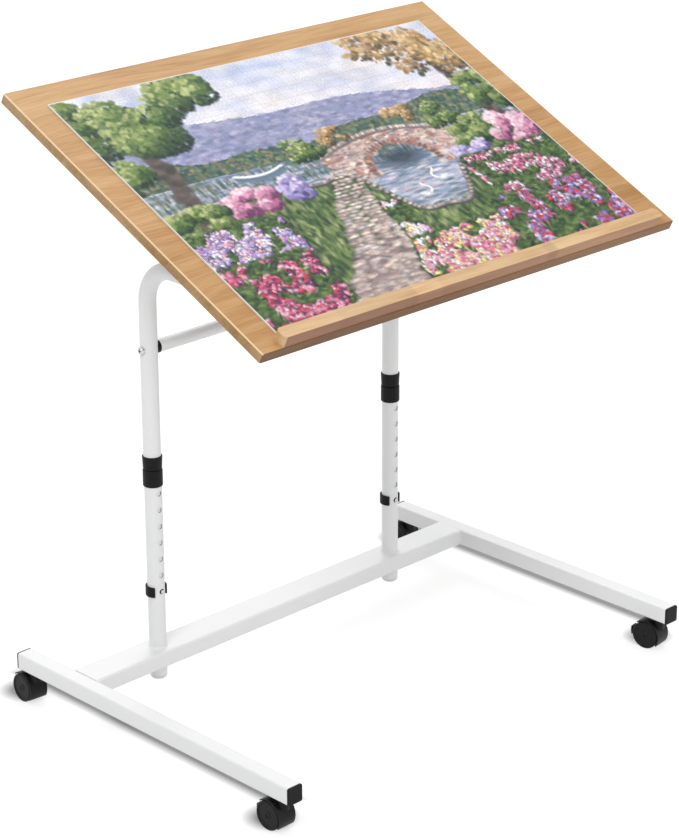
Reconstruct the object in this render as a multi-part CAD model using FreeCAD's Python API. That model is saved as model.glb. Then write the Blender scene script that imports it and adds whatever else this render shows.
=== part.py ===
import FreeCAD, Part
import math
import os

# A tilting jigsaw table on casters. Millimetres, X across the table, +Y to its back, +Z up, floor at Z = 0.

# Table top
board_width = 789.0
board_depth = 547.3
board_thick = 15.0
board_edge_round = 1.5
board_corner_round = 2.5
board_tilt = 25.7

# Ledge along the front edge, and the puzzle that rests against it
ledge_length = 727.0
ledge_shift = 1.5
ledge_depth = 20.0
ledge_height = 16.0
ledge_inset = 1.0
ledge_corner = 7.5
ledge_round = 0.8
puzzle_width = 698.0
puzzle_depth = 485.2
puzzle_thick = 2.0
puzzle_shift = -2.4

# Base: two foot rails joined by a wide beam
rail_size = 25.0
rail_wall = 1.5
rail_corner = 3.0
rail_length = 556.0
rail_spacing = 765.0
cap_flange = 3.0
cap_depth = 14.0
cap_wall = 1.8
cap_chamfer = 0.6
beam_width = 50.0
beam_wall = 1.5
beam_corner = 4.0
beam_setback = 158.3
weld_size = 3.0

# Telescopic legs
leg_spacing = 472.0
leg_dia = 25.0
leg_wall = 1.2
leg_stub = 18.5
foot_plug_drop = 6.5
foot_plug_grip = 15.0
collar_dia = 28.2
collar_flare = 0.2
collar_parting = 273.0
lower_collar_height = 25.0
upper_collar_height = 20.0
collar_lip = 1.5
collar_round = 2.0
collar_rim = 1.2
collar_waist = 26.8
post_wall = 1.2
post_grip = 75.0
post_tail = 55.0
guide_height = 14.0
guide_flange = 3.0
guide_chamfer = 0.6

# Height holes, spring buttons and the clips that go over them
hole_dia = 8.0
hole_pitch = 25.0
hole_count = 7
lowest_hole = 88.0
button_dia = 7.4
button_proud = 2.0
button_leaf_width = 6.0
button_leaf_thick = 0.8
button_leaf_up = 16.0
button_leaf_down = 24.0
button_travel = 3.2
button_crown = 1.6
clip_height = 15.0
clip_wall = 2.5
clip_opening = 105.0
clip_tab_width = 8.0
clip_tab_reach = 3.0
clip_rim = 0.7
clip_tab_round = 1.2

# Upper tubes, bent forward into arms, and the round tube that ties them
arm_height = 572.4
bend_radius = 54.0
arm_overhang = 8.0
arm_plug_flange = 1.5
arm_plug_grip = 16.0
tie_height = 450.0
tie_dia = 19.0
tie_wall = 1.2
tie_saddle = 3.0
tie_plug_grip = 24.0
tie_screw_dia = 6.0
tie_screw_grip = 20.0
tie_screw_head_dia = 12.0
tie_screw_head_height = 4.0
recess_reach = 2.8
recess_width = 1.3
recess_depth = 1.8

# Front pivot of the top
pivot_reach = 348.0
pivot_drop = 18.4
pivot_inset = 44.5
pivot_bolt_dia = 8.0
pivot_hex = 13.0
pivot_head_height = 5.3
pivot_nut_height = 6.5
pivot_bolt_end = 1.5
bracket_sheet = 2.5
bracket_side_gap = 1.0
bracket_length = 54.0
bracket_eye = 12.0
bracket_screw_u = 20.0
bracket_screw_x = 8.0

# Slotted quadrants that hold the tilt, and their clamps
tilt_max = 45.0
slot_radius = 120.0
quadrant_sheet = 3.0
quadrant_band = 14.0
quadrant_flange = 30.0
quadrant_front = 68.0
quadrant_rim = 11.0
quadrant_window_round = 2.0
quadrant_corner = 4.0
quadrant_screw_margin = 12.0
quadrant_screw_line = 21.6
quadrant_screws = 3
quadrant_window_top = 0.14
quadrant_window_low = 0.64
slot_end_room = 1.5
clamp_bolt_dia = 6.0
clamp_head_dia = 13.0
clamp_head_height = 3.4
clamp_spacer_thick = 4.0
clamp_spacer_dia = 18.0
clamp_washer_dia = 16.0
clamp_washer_thick = 1.2
knob_dia = 32.0
knob_lobe_dia = 9.0
knob_lobes = 5
knob_head = 12.0
knob_neck = 6.0
knob_neck_dia = 17.0
knob_bore_depth = 14.0
knob_bolt_room = 1.0
knob_round = 1.5
knob_chamfer = 1.0
pad_setback = 250.0
pad_length = 20.0
pad_width = 14.0
pad_round = 1.5

# Wood screws
screw_dia = 3.5
screw_bite = 9.5
screw_head_dia = 7.0
screw_head_height = 2.0
ledge_screw_count = 5
ledge_screw_bite = 9.0
ledge_screw_margin = 40.0
screw_point = 2.0
pilot_room = 0.5

# Casters
caster_height = 48.6
caster_inset = 23.8
caster_trail = 15.2
wheel_dia = 42.0
wheel_width = 10.2
wheel_gap = 9.2
wheel_shoulder = 2.3
wheel_dish = 1.2
wheel_rim = 3.2
wheel_hub_dia = 9.5
wheel_swing = 0.95
axle_dia = 6.0
axle_sink = 1.0
wheel_chamfer = 0.6
wheel_hub_sink = 0.3
hood_wall = 1.8
hood_side_room = 0.4
hood_wheel_room = 0.8
hood_back_angle = 52.0
hood_front_angle = 214.0
hood_web_disc = 15.7
hood_inset = 0.5
stem_dia = 8.0
stem_flange_dia = 14.0
stem_flange_thick = 1.5
stem_seat = 36.5
stem_reach = 16.0
stem_chamfer = 0.8
stem_room = 1.0
boss_dia = 17.0
boss_root = 4.0
nut_hex = 13.0
nut_height = 6.5
brake_pivot_radius = 12.0
brake_pivot_angle = 45.0
brake_pin_dia = 3.0
brake_blade = 3.2
brake_eye = 3.4
brake_tab_inner = 25.5
brake_tab_outer = 28.6
brake_tab_low = -16.0
brake_tab_high = 10.0
brake_tab_width = 13.0
brake_tab_round = 1.0
brake_arm_taper = 0.7

# Clearances
slide_fit = 0.08
seat_fit = 0.05
hole_fit = 0.2
face_gap = 0.3

# Swivel of each caster as it stands: the way its wheels trail, in degrees from +X
casters = {
    "front_left": (-1, -1, 91.0, True),
    "front_right": (1, -1, 98.0, True),
    "back_left": (-1, 1, 86.0, False),
    "back_right": (1, 1, 95.0, False),
}
sides = {"left": -1, "right": 1}

# Places that follow from the sizes
rail_top = caster_height + rail_size
rail_x = rail_spacing / 2
rear_overhang = caster_trail + wheel_dia / 2 + wheel_swing - caster_inset
rail_mid_y = -rear_overhang / 2
rail_end = rail_length / 2 + cap_flange
beam_y = rail_mid_y + beam_setback
leg_x = leg_spacing / 2
leg_radius = leg_dia / 2
leg_bore = leg_radius - leg_wall
parting_z = rail_top + collar_parting
button_z = rail_top + lowest_hole
post_radius = leg_bore - slide_fit
post_bottom = button_z - post_tail
arm_z = rail_top + arm_height
tie_z = rail_top + tie_height
pivot_y = beam_y - pivot_reach
clamp_y = pivot_y + slot_radius
board_front = -pivot_inset
board_under = pivot_drop
board_top = pivot_drop + board_thick
ledge_back = board_front + ledge_inset + ledge_depth
quadrant_x = leg_x - leg_radius - clamp_spacer_thick
wheel_radius = wheel_dia / 2
wheel_inner = wheel_gap / 2
wheel_outer = wheel_inner + wheel_width

# How far the middle of a quarter round lies inside its corner, per unit of radius
quarter_bow = 1 - math.sqrt(0.5)


def vec(x, y, z):
    return FreeCAD.Vector(x, y, z)


def polar(radius, degrees):
    return radius * math.cos(math.radians(degrees)), radius * math.sin(math.radians(degrees))


def slab(x0, x1, y0, y1, z0, z1):
    return Part.makeBox(x1 - x0, y1 - y0, z1 - z0, vec(x0, y0, z0))


def rod(radius, start, end):
    start, end = vec(*start), vec(*end)
    return Part.makeCylinder(radius, (end - start).Length, start, end - start)


def face_of(start, steps, point):
    """Closed face through points; a pair of points is an arc's middle and end."""
    edges = []
    here = start
    for step in list(steps) + [start]:
        if isinstance(step[0], tuple):
            middle, end = step
            edges.append(Part.Arc(point(*here), point(*middle), point(*end)).toShape())
        else:
            end = step
            if math.dist(here, end) > 1e-6:
                edges.append(Part.LineSegment(point(*here), point(*end)).toShape())
        here = end
    return Part.Face(Part.Wire(edges))


def lathe(start, *steps):
    """Solid turned about Z from an outline of (radius, height) points."""
    face = face_of(start, steps, lambda r, z: vec(r, 0, z))
    return face.revolve(vec(0, 0, 0), vec(0, 0, 1), 360)


def side_plate(x0, x1, start, *steps):
    """Plate between two X values from an outline of (y, z) points."""
    face = face_of(start, steps, lambda y, z: vec(x0, y, z))
    return face.extrude(vec(x1 - x0, 0, 0))


def sector_plate(x0, x1, centre, inner, outer, low, high):
    """Part of a ring about an X axis, between two angles from +Y towards +Z."""
    def at(radius, degrees):
        y, z = polar(radius, degrees)
        return centre[0] + y, centre[1] + z
    middle = (low + high) / 2
    return side_plate(x0, x1, at(inner, low), at(outer, low), (at(outer, middle), at(outer, high)),
                      at(inner, high), (at(inner, middle), at(inner, low)))


def moved(shape, x=0.0, y=0.0, z=0.0):
    copy = shape.copy()
    copy.translate(vec(x, y, z))
    return copy


def turned(shape, axis, degrees, centre=(0, 0, 0)):
    copy = shape.copy()
    copy.rotate(vec(*centre), vec(*axis), degrees)
    return copy


def rounded_bar(width, height, corner, length):
    """Bar along Z with a rounded rectangular section, centred on the axis."""
    bar = slab(-width / 2, width / 2, -height / 2, height / 2, 0, length)
    upright = [e for e in bar.Edges if abs(e.tangentAt(e.FirstParameter).z) > 0.99]
    return bar.makeFillet(corner, upright)


def box_tube(width, height, corner, wall, length):
    inner = max(corner - wall, corner / 4)
    bore = rounded_bar(width - 2 * wall, height - 2 * wall, inner, length)
    return rounded_bar(width, height, corner, length).cut(bore)


def hexagon(across_flats, z0, z1):
    radius = across_flats / math.sqrt(3)
    corners = [polar(radius, 60 * k) for k in range(6)]
    wire = Part.makePolygon([vec(x, y, z0) for x, y in corners + corners[:1]])
    return Part.Face(wire).extrude(vec(0, 0, z1 - z0))


def tipped(shape):
    """Place a piece drawn flat on the pivot axis at the tilt of the top."""
    return moved(turned(shape, (1, 0, 0), board_tilt), 0, pivot_y, arm_z)


def group(solids):
    return Part.makeCompound(solids)


# Base

def foot_rail(side):
    tube = box_tube(rail_size, rail_size, rail_corner, rail_wall, rail_length)
    tube = turned(tube, (1, 0, 0), -90)
    tube = moved(tube, side * rail_x, rail_mid_y - rail_length / 2, caster_height + rail_size / 2)
    for end in (-1, 1):
        y = rail_mid_y + end * (rail_end - caster_inset)
        low, high = caster_height - 1, caster_height + rail_size / 2
        tube = tube.cut(rod(stem_dia / 2 + hole_fit, (side * rail_x, y, low), (side * rail_x, y, high)))
    return tube


def rail_cap(side, end):
    """Square plastic plug: a thin flange with a chamfered edge and a hollow shank."""
    flange = rounded_bar(rail_size, rail_size, rail_corner, cap_flange)
    rim = [e for e in flange.Edges if e.BoundBox.ZMin > cap_flange - 0.01]
    flange = flange.makeChamfer(cap_chamfer, rim)
    shank_size = rail_size - 2 * rail_wall - 2 * seat_fit
    shank = box_tube(shank_size, shank_size, rail_corner / 2, cap_wall, cap_depth)
    plug = flange.fuse(moved(shank, z=-cap_depth)).removeSplitter()
    plug = turned(plug, (1, 0, 0), -90 * end)
    y = rail_mid_y + end * rail_length / 2
    return moved(plug, side * rail_x, y, caster_height + rail_size / 2)


def cross_beam():
    length = rail_spacing - rail_size
    tube = box_tube(rail_size, beam_width, beam_corner, beam_wall, length)
    tube = turned(tube, (0, 1, 0), 90)
    tube = moved(tube, -length / 2, beam_y, rail_top - rail_size / 2)
    for side in sides.values():
        x = side * leg_x
        tube = tube.cut(rod(leg_radius + seat_fit, (x, beam_y, caster_height - 1), (x, beam_y, rail_top + 1)))
    return tube


def weld_beads():
    """Fillet welds round each leg above and below the beam, and up the beam's ends."""
    radius = leg_radius + seat_fit
    ring = lathe((radius, 0), (radius + weld_size, 0),
                 ((radius + weld_size * 0.3, weld_size * 0.3), (radius, weld_size)))
    beads = []
    for side in sides.values():
        beads.append(moved(ring, side * leg_x, beam_y, rail_top))
        beads.append(moved(turned(ring, (1, 0, 0), 180), side * leg_x, beam_y, caster_height))
        wall_x = side * (rail_x - rail_size / 2)
        for front in (-1, 1):
            y = beam_y + front * beam_width / 2
            corner = vec(wall_x, y, caster_height + beam_corner)
            across = vec(wall_x - side * weld_size, y, caster_height + beam_corner)
            along = vec(wall_x, y + front * weld_size, caster_height + beam_corner)
            wire = Part.makePolygon([corner, across, along, corner])
            beads.append(Part.Face(wire).extrude(vec(0, 0, rail_size - 2 * beam_corner)))
    return group(beads)


def lower_leg(side):
    x = side * leg_x
    low, high = caster_height - leg_stub, parting_z - collar_lip
    tube = rod(leg_radius, (x, beam_y, low), (x, beam_y, high))
    tube = tube.cut(rod(leg_bore, (x, beam_y, low - 1), (x, beam_y, high + 1)))
    for k in range(hole_count):
        z = button_z + k * hole_pitch
        tube = tube.cut(rod(hole_dia / 2, (x, beam_y, z), (x, beam_y - leg_dia, z)))
    return tube


def foot_plug(side):
    """Domed plug that closes the leg's lower end."""
    low = caster_height - leg_stub
    edge = leg_radius * 0.62
    knee = leg_radius * 0.9, -foot_plug_drop * 0.62
    shank = leg_bore - seat_fit
    wall = cap_wall
    plug = lathe((0, -foot_plug_drop), (edge, -foot_plug_drop), (knee, (leg_radius, 0)), (shank, 0),
                 (shank, foot_plug_grip), (shank - wall, foot_plug_grip), (shank - wall, 0), (0, 0))
    return moved(plug, side * leg_x, beam_y, low)


def lower_collar(side):
    """Guide bush on the lower tube: a ring with rounded rims and a lip that the post slides through."""
    outer = collar_dia / 2
    bore = post_radius + slide_fit
    grip = leg_radius + seat_fit
    low = -lower_collar_height
    rim_bow, top_bow = collar_rim * quarter_bow, collar_round * quarter_bow
    bush = lathe((grip, low), (outer - collar_rim, low),
                 ((outer - rim_bow, low + rim_bow), (outer, low + collar_rim)), (outer, -collar_round),
                 ((outer - top_bow, -top_bow), (outer - collar_round, 0)), (bore, 0), (bore, -collar_lip),
                 (grip, -collar_lip))
    return moved(bush, side * leg_x, beam_y, parting_z)


def upper_collar(side):
    """End bush of the upper tube, flared upward, which stands on the lower collar at the lowest setting."""
    waist = collar_waist / 2
    flare = collar_dia / 2 + collar_flare
    bore = post_radius + seat_fit
    grip = leg_radius + seat_fit
    high = upper_collar_height
    bevel = collar_lip / 2
    bush = lathe((bore, 0), (waist - bevel, 0), (waist, bevel), (flare, high - bevel), (flare - bevel, high),
                 (grip, high), (grip, collar_lip), (bore, collar_lip))
    return moved(bush, side * leg_x, beam_y, parting_z)


# Sliding frame

def bent_path(x, start_z):
    bend_y, bend_z = beam_y - bend_radius, arm_z - bend_radius
    dy, dz = polar(bend_radius, 45)
    low = vec(x, beam_y, start_z)
    turn_in, turn_mid = vec(x, beam_y, bend_z), vec(x, bend_y + dy, bend_z + dz)
    turn_out = vec(x, bend_y, arm_z)
    tip = vec(x, pivot_y - arm_overhang, arm_z)
    edges = [Part.LineSegment(low, turn_in).toShape(), Part.Arc(turn_in, turn_mid, turn_out).toShape(),
             Part.LineSegment(turn_out, tip).toShape()]
    return Part.Wire(edges)


def along(path, radius):
    start = path.Vertexes[0].Point
    circle = Part.Wire(Part.makeCircle(radius, start, vec(0, 0, 1)))
    return path.makePipeShell([circle], True, False)


def upper_tube(side):
    x = side * leg_x
    path = bent_path(x, parting_z + collar_lip)
    tube = along(path, leg_radius).cut(along(path, leg_bore))
    through = leg_radius + 1
    for radius, y, z in ((tie_screw_dia / 2 + hole_fit, beam_y, tie_z),
                         (pivot_bolt_dia / 2 + hole_fit, pivot_y, arm_z),
                         (clamp_bolt_dia / 2 + hole_fit, clamp_y, arm_z)):
        tube = tube.cut(rod(radius, (x - through, y, z), (x + through, y, z)))
    return tube


def inner_post(side):
    x = side * leg_x
    high = parting_z + post_grip
    post = rod(post_radius, (x, beam_y, post_bottom), (x, beam_y, high))
    post = post.cut(rod(post_radius - post_wall, (x, beam_y, post_bottom - 1), (x, beam_y, high + 1)))
    return post.cut(rod(button_dia / 2 + slide_fit, (x, beam_y, button_z), (x, beam_y - leg_dia, button_z)))


def post_guide(side):
    """Ring plug at the post's lower end that runs in the leg."""
    outer = post_radius
    shank = post_radius - post_wall - seat_fit
    guide = lathe((shank - cap_wall, -guide_flange), (outer - guide_chamfer, -guide_flange),
                  (outer, guide_chamfer - guide_flange), (outer, 0), (shank, 0), (shank, guide_height),
                  (shank - cap_wall, guide_height))
    return moved(guide, side * leg_x, beam_y, post_bottom)


def tie_tube():
    end = leg_x - leg_radius - tie_saddle
    tube = rod(tie_dia / 2, (-end, beam_y, tie_z), (end, beam_y, tie_z))
    return tube.cut(rod(tie_dia / 2 - tie_wall, (-end - 1, beam_y, tie_z), (end + 1, beam_y, tie_z)))


def tie_saddle_plug(side):
    """Plug in the tie tube's end, hollowed to sit on the upright, bored for the screw."""
    end = leg_x - leg_radius - tie_saddle
    shank = tie_dia / 2 - tie_wall - seat_fit
    flange = rod(tie_dia / 2, (side * end, beam_y, tie_z), (side * leg_x, beam_y, tie_z))
    inner = side * (end - tie_plug_grip)
    body = flange.fuse(rod(shank, (inner, beam_y, tie_z), (side * end, beam_y, tie_z)))
    upright = rod(leg_radius + seat_fit, (side * leg_x, beam_y, tie_z - tie_dia),
                  (side * leg_x, beam_y, tie_z + tie_dia))
    hole = rod(tie_screw_dia / 2 + seat_fit, (inner, beam_y, tie_z), (side * leg_x, beam_y, tie_z))
    return body.cut(upright).cut(hole).removeSplitter()


def pan_head(radius, height):
    """Domed screw head standing on Z = 0 and rising along +Z."""
    rim = height * 0.4
    crown = radius * 0.55
    shoulder = radius * 0.86, height * 0.84
    return lathe((0, 0), (radius, 0), (radius, rim), (shoulder, (crown, height)), (0, height))


def cross_recess(top):
    """Two crossed driver slots sunk from a screw head's top."""
    half = recess_width / 2
    slot = slab(-recess_reach, recess_reach, -half, half, top - recess_depth, top + recess_depth)
    return slot.fuse(turned(slot, (0, 0, 1), 90))


def tie_screws():
    """Cross-recess screws through the uprights into the tie tube's plugs."""
    screws = []
    recess = cross_recess(tie_screw_head_height)
    for side in sides.values():
        seat = leg_x + leg_radius
        tip = leg_x - leg_radius - tie_saddle - tie_screw_grip
        head = pan_head(tie_screw_head_dia / 2, tie_screw_head_height).cut(recess)
        head = turned(head, (0, 1, 0), 90 * side)
        shank = rod(tie_screw_dia / 2, (side * tip, beam_y, tie_z), (side * seat, beam_y, tie_z))
        screws.append(moved(head, side * seat, beam_y, tie_z).fuse(shank).removeSplitter())
    return group(screws)


def arm_plug(side):
    shank = leg_bore - seat_fit
    wall = cap_wall
    plug = lathe((0, 0), (shank, 0), (shank, -arm_plug_grip), (shank - wall, -arm_plug_grip),
                 (shank - wall, -wall), (0, -wall))
    flat = leg_radius - arm_plug_flange
    crown = lathe((0, 0), (leg_radius, 0), (flat, arm_plug_flange), (0, arm_plug_flange))
    plug = turned(plug.fuse(crown).removeSplitter(), (1, 0, 0), 90)
    hole = rod(pivot_bolt_dia / 2 + hole_fit, (-leg_dia, arm_overhang, 0), (leg_dia, arm_overhang, 0))
    return moved(plug.cut(hole), side * leg_x, pivot_y - arm_overhang, arm_z)


def pivot_fasteners(side_part):
    """Bolts through the arms' front ends, or the nuts on their inner ends."""
    ear_face = leg_radius + bracket_side_gap + bracket_sheet + face_gap
    pieces = []
    for side in sides.values():
        if side_part == "bolt":
            tip = ear_face + pivot_nut_height + pivot_bolt_end
            shank = rod(pivot_bolt_dia / 2, (0, 0, -tip), (0, 0, ear_face))
            piece = hexagon(pivot_hex, ear_face, ear_face + pivot_head_height).fuse(shank).removeSplitter()
        else:
            piece = hexagon(pivot_hex, -ear_face - pivot_nut_height, -ear_face)
            piece = piece.cut(rod(pivot_bolt_dia / 2 + seat_fit, (0, 0, -2 * ear_face), (0, 0, 0)))
        piece = turned(piece, (0, 1, 0), 90 * side)
        pieces.append(moved(piece, side * leg_x, pivot_y, arm_z))
    return group(pieces)


def clamp_bolts():
    """Cup-head bolts through the arms and quadrant slots."""
    bolts = []
    for side in sides.values():
        seat = leg_x + leg_radius
        knob_face = quadrant_x - quadrant_sheet - 2 * face_gap - clamp_washer_thick
        tip = knob_face - knob_bore_depth + knob_bolt_room
        head = turned(pan_head(clamp_head_dia / 2, clamp_head_height), (0, 1, 0), 90 * side)
        shank = rod(clamp_bolt_dia / 2, (side * tip, clamp_y, arm_z), (side * seat, clamp_y, arm_z))
        bolts.append(moved(head, side * seat, clamp_y, arm_z).fuse(shank).removeSplitter())
    return group(bolts)


def clamp_spacer(side):
    """Saddle washer between the round arm and the flat quadrant."""
    near = quadrant_x + face_gap
    body = rod(clamp_spacer_dia / 2, (side * near, clamp_y, arm_z), (side * leg_x, clamp_y, arm_z))
    arm = rod(leg_radius + seat_fit, (side * leg_x, clamp_y - leg_dia, arm_z),
              (side * leg_x, clamp_y + leg_dia, arm_z))
    hole = rod(clamp_bolt_dia / 2 + seat_fit, (side * near / 2, clamp_y, arm_z), (side * leg_x, clamp_y, arm_z))
    return body.cut(arm).cut(hole)


def clamp_washers():
    washers = []
    for side in sides.values():
        outer = quadrant_x - quadrant_sheet - face_gap
        inner = outer - clamp_washer_thick
        disc = rod(clamp_washer_dia / 2, (side * inner, clamp_y, arm_z), (side * outer, clamp_y, arm_z))
        hole = rod(clamp_bolt_dia / 2 + seat_fit, (side * inner / 2, clamp_y, arm_z),
                   (side * leg_x, clamp_y, arm_z))
        washers.append(disc.cut(hole))
    return group(washers)


def rest_pads():
    """Rubber saddles on the arms that the flat top comes down on."""
    pads = []
    top = arm_z + pivot_drop - face_gap
    y = pivot_y + pad_setback
    for side in sides.values():
        x = side * leg_x
        pad = slab(x - pad_width / 2, x + pad_width / 2, y - pad_length / 2, y + pad_length / 2, arm_z, top)
        pad = pad.makeFillet(pad_round, [e for e in pad.Edges if e.BoundBox.ZMin > top - 0.01])
        pads.append(pad.cut(rod(leg_radius + seat_fit, (x, y - pad_length, arm_z), (x, y + pad_length, arm_z))))
    return group(pads)


# Locks and clamps that move

def snap_button(side):
    """Round button on a folded leaf spring inside the post."""
    wall = post_radius - post_wall
    half = button_leaf_width / 2
    front = -math.sqrt(wall ** 2 - half ** 2) + face_gap
    back = math.sqrt(wall ** 2 - half ** 2) - button_travel - face_gap
    inner_front, inner_back = front + button_leaf_thick, back - button_leaf_thick
    fold, inner_fold = (back - front) / 2, (inner_back - inner_front) / 2
    middle = (front + back) / 2
    low = -button_leaf_down
    leaf = side_plate(-half, half, (front, button_leaf_up), (inner_front, button_leaf_up), (inner_front, low),
                      ((middle, low - inner_fold), (inner_back, low)), (inner_back, 0), (back, 0), (back, low),
                      ((middle, low - fold), (front, low)))
    radius = button_dia / 2
    reach = leg_radius + button_proud + front
    root = -button_leaf_thick / 2
    shoulder = radius * 0.86, reach - button_crown * 0.4
    peg = lathe((0, root), (radius, root), (radius, reach - button_crown), (shoulder, (radius / 2, reach)),
                (0, reach))
    peg = moved(turned(peg, (1, 0, 0), 90), 0, front, 0)
    return moved(leaf.fuse(peg).removeSplitter(), side * leg_x, beam_y, button_z)


def lock_clip(side):
    """Open ring round the leg with rounded lips at its mouth and a grooved grip behind."""
    inner = leg_radius + face_gap
    outer = inner + clip_wall
    half = clip_height / 2
    ring = rod(outer, (0, 0, -half), (0, 0, half)).cut(rod(inner, (0, 0, -half - 1), (0, 0, half + 1)))
    rims = [e for e in ring.Edges if e.BoundBox.XLength > 2 * inner + clip_wall]
    ring = ring.makeFillet(clip_rim, rims)
    left, right = polar(2 * outer, -90 - clip_opening / 2), polar(2 * outer, -90 + clip_opening / 2)
    mouth = Part.makePolygon([vec(0, 0, -half - 1), vec(*left, -half - 1), vec(*right, -half - 1),
                              vec(0, 0, -half - 1)])
    ring = ring.cut(Part.Face(mouth).extrude(vec(0, 0, clip_height + 2)))
    for sign in (-1, 1):
        x, y = polar(inner + clip_wall / 2, -90 + sign * clip_opening / 2)
        ring = ring.fuse(rod(clip_wall / 2, (x, y, clip_rim - half), (x, y, half - clip_rim)))
    tip = outer + clip_tab_reach
    wide, tall = clip_tab_width / 2, half - clip_wall
    tab = slab(-wide, wide, outer - clip_wall / 2, tip, -tall, tall)
    tab = tab.makeFillet(clip_tab_round, [e for e in tab.Edges if e.BoundBox.YMin > tip - 0.01])
    for k in (-1, 0, 1):
        z = k * half * 0.4
        groove = clip_tab_round / 2
        tab = tab.cut(rod(groove, (-clip_tab_width, tip, z), (clip_tab_width, tip, z)))
    return moved(ring.fuse(tab).removeSplitter(), side * leg_x, beam_y, button_z)


def tilt_knob(side):
    """Lobed hand knob on the clamp bolt, with a round neck towards the washer."""
    reach = knob_dia / 2 - knob_lobe_dia / 2
    head = rod(reach, (0, 0, knob_neck), (0, 0, knob_neck + knob_head))
    for k in range(knob_lobes):
        x, y = polar(reach, 360 * k / knob_lobes)
        head = head.fuse(rod(knob_lobe_dia / 2, (x, y, knob_neck), (x, y, knob_neck + knob_head)))
    head = head.removeSplitter()
    ends = [e for e in head.Edges if e.BoundBox.ZMin > knob_neck + knob_head - 0.01]
    head = head.makeFillet(knob_round, ends)
    waist = knob_neck_dia / 2
    neck = lathe((0, 0), (waist - knob_chamfer, 0), (waist, knob_chamfer), (waist, knob_neck), (0, knob_neck))
    bore = rod(clamp_bolt_dia / 2 + slide_fit, (0, 0, -1), (0, 0, knob_bore_depth))
    knob = head.fuse(neck).cut(bore).removeSplitter()
    face = quadrant_x - quadrant_sheet - 2 * face_gap - clamp_washer_thick
    return moved(turned(knob, (0, 1, 0), -90 * side), side * face, clamp_y, arm_z)


# Tilting top, drawn flat with the pivot axis at Y = 0, Z = 0

def screw_places():
    """Wood screws in the brackets and quadrants: X, Y and the sheet each one holds."""
    places = []
    for side in sides.values():
        for u in (-1, 1):
            for across in (-1, 1):
                places.append((side * leg_x + across * bracket_screw_x, u * bracket_screw_u, bracket_sheet))
        first = quadrant_front + quadrant_screw_margin
        last = slot_radius + quadrant_band - quadrant_screw_margin
        for k in range(quadrant_screws):
            u = first + k * (last - first) / (quadrant_screws - 1)
            places.append((side * (quadrant_x - quadrant_sheet + quadrant_screw_line), u, quadrant_sheet))
    return places


def ledge_screw_places():
    span = ledge_length - 2 * ledge_screw_margin
    step = span / (ledge_screw_count - 1)
    return [ledge_shift - span / 2 + k * step for k in range(ledge_screw_count)]


def table_top():
    half = board_width / 2
    board = slab(-half, half, board_front, board_front + board_depth, board_under, board_top)
    corners = [e for e in board.Edges if e.BoundBox.ZLength > board_thick / 2]
    board = board.makeFillet(board_corner_round, corners)
    rims = [e for e in board.Edges if e.BoundBox.ZLength < 0.01]
    board = board.makeFillet(board_edge_round, rims)
    pilot = screw_dia / 2 + seat_fit
    for x, y, _ in screw_places():
        board = board.cut(rod(pilot, (x, y, board_under - 1), (x, y, board_under + screw_bite + pilot_room)))
    y = ledge_back - ledge_depth / 2
    for x in ledge_screw_places():
        board = board.cut(rod(pilot, (x, y, board_under - 1), (x, y, board_top + 1)))
        sink = Part.makeCone(screw_head_dia / 2 + seat_fit, pilot, (screw_head_dia - screw_dia) / 2,
                             vec(x, y, board_under))
        board = board.cut(sink)
    return tipped(board)


def front_ledge():
    half = ledge_length / 2
    strip = slab(ledge_shift - half, ledge_shift + half, ledge_back - ledge_depth, ledge_back,
                 board_top, board_top + ledge_height)
    ends = [e for e in strip.Edges if e.BoundBox.ZLength > ledge_height / 2]
    strip = strip.makeFillet(ledge_corner, ends)
    rims = [e for e in strip.Edges if e.BoundBox.ZMin > board_top + ledge_height - 0.01]
    strip = strip.makeFillet(ledge_round, rims)
    y = ledge_back - ledge_depth / 2
    for x in ledge_screw_places():
        pilot = rod(screw_dia / 2 + seat_fit, (x, y, board_top - 1), (x, y, board_top + ledge_screw_bite))
        strip = strip.cut(pilot)
    return tipped(strip)


def ledge_screws():
    screws = []
    y = ledge_back - ledge_depth / 2
    length = board_thick + ledge_screw_bite - pilot_room
    radius = screw_dia / 2
    screw = lathe((0, 0), (screw_head_dia / 2, 0), (radius, (screw_head_dia - screw_dia) / 2),
                  (radius, length - screw_point), (0, length))
    for x in ledge_screw_places():
        screws.append(moved(screw, x, y, board_under))
    return tipped(group(screws))


def jigsaw_puzzle():
    half = puzzle_width / 2
    sheet = slab(puzzle_shift - half, puzzle_shift + half, ledge_back, ledge_back + puzzle_depth,
                 board_top, board_top + puzzle_thick)
    return tipped(sheet)


def pivot_bracket(side):
    """Folded sheet channel under the top, with two ears on the pivot bolt."""
    inner = leg_radius + bracket_side_gap
    outer = inner + bracket_sheet
    half = bracket_length / 2
    eye = bracket_eye
    ear = [(half, board_under), (eye, 0), ((0, -eye), (-eye, 0)), (-half, board_under)]
    block = side_plate(-outer, outer, *ear)
    folds = [e for e in block.Edges if e.BoundBox.ZMin > board_under - 0.01 and e.BoundBox.YLength > half]
    block = block.makeFillet(bracket_sheet, folds)
    room = slab(-inner, inner, -bracket_length, bracket_length, -2 * eye, board_under - bracket_sheet)
    channel = block.cut(room)
    channel = channel.cut(rod(pivot_bolt_dia / 2 + slide_fit, (-2 * outer, 0, 0), (2 * outer, 0, 0)))
    channel = moved(channel, side * leg_x)
    for x, y, _ in screw_places():
        channel = channel.cut(rod(screw_dia / 2 + hole_fit, (x, y, 0), (x, y, board_under + 1)))
    return tipped(channel)


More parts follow.
